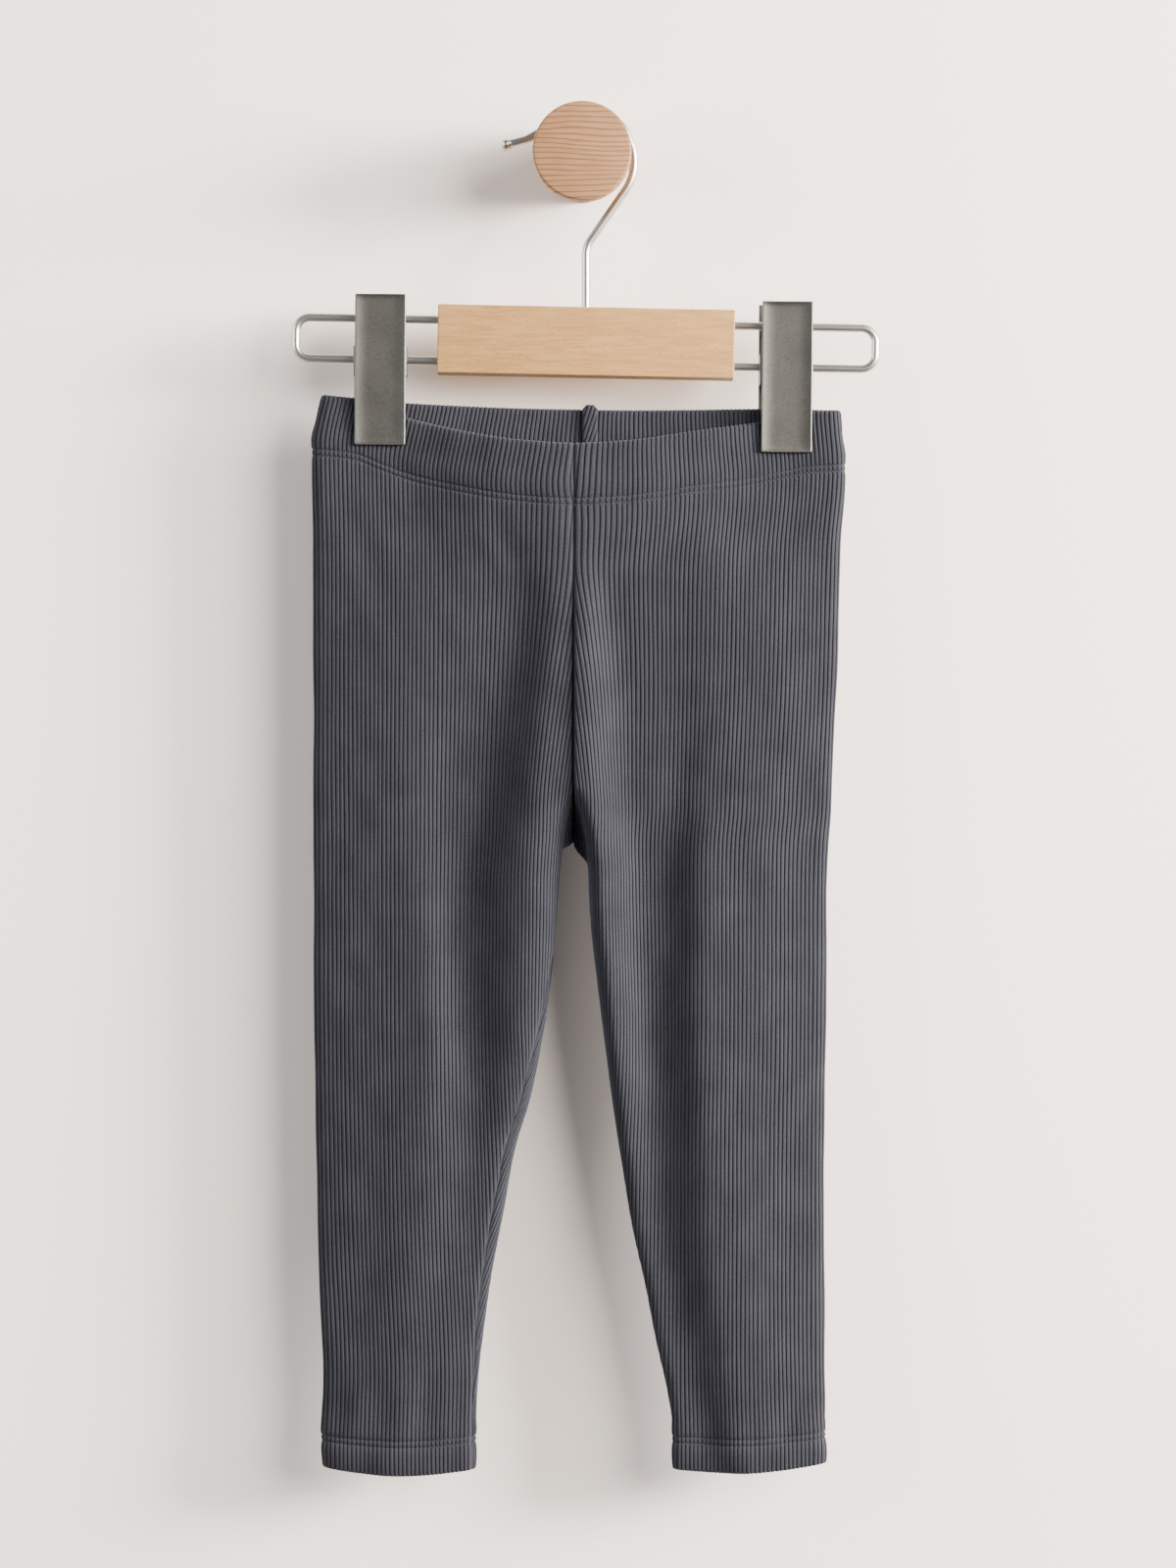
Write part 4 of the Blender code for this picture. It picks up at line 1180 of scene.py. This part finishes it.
def rounded_box(work, centre, size, turn, bevel):
    """Add a box of (x, y, z) size, turned about its centre, with rounded edges."""
    matrix = set_at(Vector(centre) * MM, turn) @ Matrix.Diagonal((*[s * MM for s in size], 1.0))
    bmesh.ops.create_cube(work, size=1.0, matrix=matrix)
    bmesh.ops.bevel(work, geom=work.edges[:], offset=bevel * MM, segments=3, profile=0.6,
                    affect="EDGES")


def dished_plate(work, centre, size, turn, side):
    """Add a clip's plate: its outer face is pressed in between its edges, which stay raised."""
    halves = [s / 2 for s in size]
    bmesh.ops.create_cube(work, size=1.0, matrix=Matrix.Diagonal((*size, 1.0)))
    bmesh.ops.bevel(work, geom=work.edges[:], offset=0.5, segments=3, profile=0.5, affect="EDGES")
    for axis in (0, 2):
        across = Vector((axis == 0, 0, axis == 2))
        for inset in (0.8, 1.6, 2.5, 3.6, 5.0, 6.6):
            for way in (-1, 1):
                bmesh.ops.bisect_plane(work, geom=work.verts[:] + work.edges[:] + work.faces[:],
                                       plane_co=across * way * (halves[axis] - inset),
                                       plane_no=across)
    place = set_at(Vector(centre), turn)
    for vertex in work.verts:
        if vertex.co.y * side > 0.0:
            inside = [min(1.0, max(0.0, (halves[axis] - abs(vertex.co[axis]) - 0.35) / reach))
                      for axis, reach in ((0, 6.0), (2, 2.2))]
            vertex.co.y -= side * DISH_DEPTH * math.prod(1.0 - (1.0 - t) ** 2 for t in inside)
        vertex.co = place @ vertex.co * MM


def turned(name, profile, place, axis, material, steps=96):
    """A turned piece from (radius, height) points along an axis, on which it starts and ends."""
    work = bmesh.new()
    turn = Vector((0, 0, 1)).rotation_difference(Vector(axis)).to_matrix()
    rings = []
    for radius, height in profile:
        round_axis = [Vector((radius * math.cos(a), radius * math.sin(a), height))
                      for a in angles(steps if radius else 1)]
        rings.append([work.verts.new((turn @ p + Vector(place)) * MM) for p in round_axis])
    skin(work, rings)
    return solid(name, work, material)


def instead_of(piece, *nodes, slot=None):
    """The piece stands in for these nodes of the frame and rides on its body."""
    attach(piece, BODY)
    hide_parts(*nodes)
    return piece


# ---------------------------------------------------------------- operators
class LEGGINGS_OT_legs(bpy.types.Operator):
    """Make both legs with their turned-up hems"""
    bl_idname = "leggings.legs"
    bl_label = "Legs"

    def execute(self, context):
        knit = context.scene.leggings_knit
        material = knit_material(knit)
        for leg in LEGS:
            grid = leg_grid(leg, knit.rib_pitch / MM, knit.wall / MM)
            piece = ribbed(f"{leg.word}_leg_knit", grid, material, knit)
            instead_of(piece, f"{leg.word}_leg", f"hem_{leg.word}", slot="rib_knit")
        return {"FINISHED"}


class LEGGINGS_OT_waistband(bpy.types.Operator):
    """Make the waist casing and the turned-in end of the back seam"""
    bl_idname = "leggings.waistband"
    bl_label = "Waistband"

    def execute(self, context):
        knit = context.scene.leggings_knit
        material = knit_material(knit)
        for leg in LEGS:
            piece = ribbed(f"{leg.word}_casing_knit", casing_grid(leg, knit.rib_pitch / MM),
                           material, knit)
            instead_of(piece, f"waistband_{leg.word}", slot="rib_knit")
        piece = seam_turning(material, knit)
        instead_of(piece, "back_seam_turning", slot="rib_knit")
        return {"FINISHED"}


def seam_turning(material, knit):
    """The back seam's turning, laid flat inside the casing; its ribs slant and are cut off."""
    wide, high, wall = 7.2, 26.5, 1.2
    front = HANG_Y + 3.2 - 1.2
    bottom = WAIST_SEAM_Z - 1.4
    left = BACK_SEAM_X - 0.2
    pitch = knit.rib_pitch / MM
    grid = Grid(None, rib_stops(10.0, 18.0, pitch))
    heights = spaced(high, 0.0, 1.3)

    def row(z, inward, lift, mask, inside):
        corner = 1.4 * (1.0 - math.sqrt(max(0.0, 1.0 - (1.0 - min(1.0, (high - z) / 1.4)) ** 2)))
        x = np.clip(grid.stops + 0.32 * (z - high / 2), corner, wide - corner)
        edge = np.minimum(x - corner, wide - corner - x)
        y = front - 0.25 * np.sin(math.pi * x / wide) + inward + 0.35 * (1 - smooth(edge / 0.8))
        grid.points.append(np.column_stack((left + x, y, np.full(len(x), bottom + z + lift))))
        grid.masks.append(mask * smooth(edge / 0.8))
        grid.along.append(np.full(len(x), high - z))
        grid.inside.append(inside)

    for z in heights:
        row(z, 0.0, 0.0, 1.0, False)
    for z in heights[::-1][::4]:
        row(z, wall, 0.0, 0.0, True)
    for turn in (math.pi * 0.75, math.pi * 0.5, math.pi * 0.25):
        row(high, wall / 2 * (1.0 - math.cos(turn)), wall / 2 * math.sin(turn), 0.6, True)
    return ribbed("back_seam_turning_knit", grid, material, knit)


def stitch_shape(name):
    """One thread stitch: an arched bead whose ends dip into the cloth."""
    length, thick, arch, steps, sides = 1.30, 0.24, 0.16, 6, 7
    work = bmesh.new()
    rings = []
    for n in range(steps + 1):
        t = n / steps
        x = (t - 0.5) * length
        low = arch * (math.sin(math.pi * t) - 1.0)
        radius = thick * (0.25 + 0.75 * math.sin(math.pi * t) ** 0.6)
        rings.append([work.verts.new(Vector((x, radius * math.cos(a), low + radius * math.sin(a)))
                                     * MM) for a in angles(sides)])
    skin(work, rings)
    mesh = bpy.data.meshes.new(name)
    work.to_mesh(mesh)
    work.free()
    mesh.shade_smooth()
    return placed(name, mesh)


def stitch_guides(name, lines):
    """Guide lines on the cloth as edges, each with the direction out of the cloth; a line is
    (points, outward directions)."""
    points = np.concatenate([line for line, _ in lines])
    edges, start = [], 0
    for line, _ in lines:
        edges += [(start + n, start + n + 1) for n in range(len(line) - 1)]
        start += len(line)
    mesh = bpy.data.meshes.new(name)
    mesh.from_pydata((points * MM).tolist(), edges, [])
    out = mesh.attributes.new("out", "FLOAT_VECTOR", "POINT")
    out.data.foreach_set("vector", np.concatenate([n for _, n in lines]).ravel())
    return placed(name, mesh)


def stitched(name, lines, material, seed):
    guides = stitch_guides(name + "_guides", lines)
    shape = stitch_shape(name + "_shape")
    tree = bpy.data.node_groups.get("Stitch rows") or stitch_tree()
    mesh = grown(guides, name, tree, {"Spacing": RIB_PITCH, "Stitch": shape, "Seed": seed,
                                      "Material": material})
    bpy.data.objects.remove(shape)
    mesh.shade_smooth()
    return placed(name, mesh)


def stitch_line(leg, z, drop_at=None):
    """One row of stitches round a leg at a height, just proud of the pressed cloth."""
    ring = Ring(leg, z)
    stops = np.arange(ring.at[0] + 0.3, ring.at[-1] - 0.3, 0.8)
    points, normals, _ = ring.lay(stops, STITCH_DEPTH, drop_at)
    return points, normals


class LEGGINGS_OT_stitches(bpy.types.Operator):
    """Sew the twin rows of stitches at the waist seam and at both hems"""
    bl_idname = "leggings.stitches"
    bl_label = "Stitches"

    def execute(self, context):
        knit = context.scene.leggings_knit
        material = thread_material(knit)
        waist = []
        for leg in LEGS:
            waist.append(stitch_line(leg, WAIST_SEAM_Z + STITCH_ROWS[0]))
            waist.append(stitch_line(leg, WAIST_SEAM_Z + STITCH_ROWS[1], WAIST_SEAM_Z))
        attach(stitched("waist_stitches", waist, material, 3), BODY)
        for leg in LEGS:
            rows = [stitch_line(leg, HEM_ROWS_MIDDLE + row) for row in STITCH_ROWS]
            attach(stitched(f"{leg.word}_hem_stitches", rows, material, 5 + leg.side), BODY)
        return {"FINISHED"}


class LEGGINGS_OT_hanger(bpy.types.Operator):
    """Make the hanger: its beech block, its wire frame and its hook"""
    bl_idname = "leggings.hanger"
    bl_label = "Hanger"

    def execute(self, context):
        look = context.scene.leggings_hanger
        wire = metal_material("satin nickel wire", look.wire_colour, 0.34, 0.5)
        beech = wood_material("beech of the block", look.beech_colour, look.grain_seed, 0.0, 1.0)
        work = bmesh.new()
        x, z = BLOCK_CENTRE
        rounded_box(work, (x, HANG_Y, z), BLOCK_SIZE, (0.0, HANGER_TILT), 0.7)
        instead_of(solid("beech_block", work, beech), "hanger_block", slot="beech")
        cx, cz = FRAME_CENTRE
        for side, word in ((-1, "right"), (1, "left")):
            root = cx + side * (BLOCK_SIZE[0] / 2 - RAIL_IN_BLOCK)
            end = cx + side * FRAME_HALF
            corners = ((root, cz + FRAME_RISE, 0), (end, cz + FRAME_RISE, FRAME_CORNER),
                       (end, cz - FRAME_RISE, FRAME_CORNER), (root, cz - FRAME_RISE, 0))
            points = [Vector(lean(*p)) for p in rounded_route(corners)]
            instead_of(tube(f"{word}_frame_wire", points, wire), f"frame_wire_{word}",
                       slot="nickel_wire")
        instead_of(tube("bent_hook_wire", rounded_route(hook_route()), wire), "hook_wire",
                   slot="nickel_wire")
        end, start = Vector(hook_route()[-1][:2]), Vector(hook_route()[-2][:2])
        away = (end - start).normalized()
        tip = turned("hook_knob", KNOB, (end.x, HANG_Y, end.y), (away.x, 0.0, away.y), wire,
                     steps=48)
        instead_of(tip, "hook_tip", slot="nickel_wire")
        return {"FINISHED"}


def hook_route():
    """The hook: up the shank, out to one side, over the peg's stem and down to its end."""
    over = PEG_STEM_D / 2 + 0.3 + WIRE_D / 2
    return ((HOOK_SHANK_X, -80.0, 0), (HOOK_SHANK_X, -41.2, 12), (27.0, -5.0, 24),
            (17.0, over, 14), (-6.0, over, 18), (-25.6, 8.2, 9), (-32.5, 6.4, 0))


class LEGGINGS_OT_clips(bpy.types.Operator):
    """Make the two clips that pinch the waistband"""
    bl_idname = "leggings.clips"
    bl_label = "Clips"

    def execute(self, context):
        look = context.scene.leggings_hanger
        pewter = metal_material("pewter clip plate", look.plate_colour, 0.42, 1.0)
        wide, thick, high = CLIP_PLATE
        spread_angle = math.atan2(CLIP_SPREAD - CLIP_GRIP, high)
        for word, x, top in zip(("right", "left"), CLIP_X, CLIP_TOP_Z):
            for face, side in (("front", -1), ("back", 1)):
                middle = HANG_Y + side * ((CLIP_GRIP + CLIP_SPREAD) / 2 + thick / 2)
                offset = 0.0 if side < 0 else BACK_PLATE_SHIFT
                work = bmesh.new()
                dished_plate(work, (x + offset, middle, top - high / 2), CLIP_PLATE,
                             (side * -spread_angle, HANGER_TILT * 0.4), side)
                instead_of(solid(f"{word}_clip_{face}_plate", work, pewter),
                           f"clip_{word}_{face}", slot="clip_steel")
            bracket = bpy.data.objects[f"clip_{word}_bracket"]
            for slot in bracket.material_slots:
                slot.material = pewter
        return {"FINISHED"}


class LEGGINGS_OT_peg(bpy.types.Operator):
    """Turn the wall peg"""
    bl_idname = "leggings.peg"
    bl_label = "Wall peg"

    def execute(self, context):
        look = context.scene.leggings_hanger
        wood = wood_material("peg beech", look.peg_colour, look.grain_seed + 5, 1.0, 0.35)
        stem, disc = PEG_STEM_D / 2, PEG_DISC_D / 2
        neck = PEG_LENGTH - PEG_DISC_T
        profile = [(0.0, PEG_LENGTH), (disc - 1.1, PEG_LENGTH), (disc - 0.55, PEG_LENGTH - 0.12),
                   (disc - 0.18, PEG_LENGTH - 0.45), (disc, PEG_LENGTH - 1.0), (disc, neck + 0.9),
                   (disc - 0.25, neck + 0.35), (disc - 0.9, neck), (stem + 0.4, neck),
                   (stem, neck - 0.4), (stem, 0.0), (0.0, 0.0)]
        peg = turned("turned_wall_peg", profile, (0.0, 0.0, 0.0), (0.0, -1.0, 0.0), wood)
        instead_of(peg, "wall_peg", slot="peg_wood")
        return {"FINISHED"}


# Lights in metres: (name, place, size, share of the key light's power, colour).
LIGHTS = (
    ("soft key", (1.75, -1.65, 0.45), 1.9, 1.0, (1.0, 0.96, 0.92)),
    ("side", (2.7, -0.95, 0.30), 0.9, 2.5, (1.0, 0.97, 0.94)),
    ("left fill", (-2.3, -1.25, 0.2), 1.8, 0.38, (0.93, 0.96, 1.0)),
    ("rear", (-0.8, 1.8, 0.6), 1.2, 0.4, (1.0, 1.0, 1.0)),
)
LIT_PLACE = (0.0, -0.03, -0.3)


class LEGGINGS_OT_stage(bpy.types.Operator):
    """Set up the pale wall, the lights and the camera"""
    bl_idname = "leggings.stage"
    bl_label = "Stage"

    def execute(self, context):
        look = context.scene.leggings_stage
        material, tree, surface = shader("painted wall")
        surface.inputs["Base Color"].default_value = (*look.wall_colour, 1.0)
        surface.inputs["Roughness"].default_value = 0.95
        surface.inputs["Specular IOR Level"].default_value = 0.1
        clear = node(tree, "ShaderNodeBsdfTransparent")
        facing = node(tree, "ShaderNodeNewGeometry")
        shown = node(tree, "ShaderNodeMixShader", ((0, facing.outputs["Backfacing"]),
                                                   (1, surface.outputs[0]),
                                                   (2, clear.outputs[0])))
        tree.links.new(shown.outputs[0], tree.nodes["Material Output"].inputs["Surface"])
        half, wall_y = 4.0, 0.0006
        mesh = bpy.data.meshes.new("wall")
        mesh.from_pydata([(-half, wall_y, -half), (half, wall_y, -half), (half, wall_y, half),
                          (-half, wall_y, half)], [], [(0, 1, 2, 3)])
        mesh.materials.append(material)
        wall = placed("wall", mesh)
        wall.visible_shadow = False

        for name, place, size, share, colour in LIGHTS:
            data = bpy.data.lights.new(name, "AREA")
            data.shape, data.size = "DISK", size
            data.energy, data.color = look.key_power * share, colour
            lamp = placed(name, data)
            lamp.location = place
            aim = (Vector(LIT_PLACE) - Vector(place)).to_track_quat("-Z", "Y")
            lamp.rotation_euler = aim.to_euler()
        world = bpy.data.worlds.new("pale surroundings")
        world.use_nodes = True
        back = world.node_tree.nodes["Background"]
        back.inputs["Color"].default_value = (0.93, 0.95, 1.0, 1.0)
        back.inputs["Strength"].default_value = look.fill
        context.scene.world = world
        camera = placed("camera", bpy.data.cameras.new("camera"))
        distance = look.camera_distance
        camera.location = (0.0027, HANG_Y * MM - distance, -0.2878)
        camera.rotation_euler = (math.pi / 2, 0.0, 0.0)
        camera.data.sensor_fit = "VERTICAL"
        camera.data.angle = 2.0 * math.atan(look.framed_height / 2 / distance)
        context.scene.camera = camera
        return {"FINISHED"}


class LEGGINGS_PT_panel(bpy.types.Panel):
    """Buttons and settings in the sidebar"""
    bl_label = "Hung leggings"
    bl_idname = "LEGGINGS_PT_panel"
    bl_space_type = "VIEW_3D"
    bl_region_type = "UI"
    bl_category = "Leggings"

    def draw(self, context):
        for group in GROUPS:
            settings_of = getattr(context.scene, group)
            for key in settings_of.__annotations__:
                self.layout.prop(settings_of, key)
        for operator in OPERATORS:
            self.layout.operator(operator.bl_idname)


GROUPS = {"leggings_knit": KnitSettings, "leggings_hanger": HangerSettings,
          "leggings_stage": StageSettings}
OPERATORS = (LEGGINGS_OT_peg, LEGGINGS_OT_hanger, LEGGINGS_OT_clips, LEGGINGS_OT_legs,
             LEGGINGS_OT_waistband, LEGGINGS_OT_stitches, LEGGINGS_OT_stage)


def register():
    for one in (*GROUPS.values(), *OPERATORS, LEGGINGS_PT_panel):
        bpy.utils.register_class(one)
    for key, group in GROUPS.items():
        setattr(bpy.types.Scene, key, PointerProperty(type=group))


def unregister():
    for key in GROUPS:
        delattr(bpy.types.Scene, key)
    for one in reversed((*GROUPS.values(), *OPERATORS, LEGGINGS_PT_panel)):
        bpy.utils.unregister_class(one)


def main():
    register()
    for operator in OPERATORS:
        _, name = operator.bl_idname.split(".")
        getattr(bpy.ops.leggings, name)()


if __name__ == "__main__":
    main()
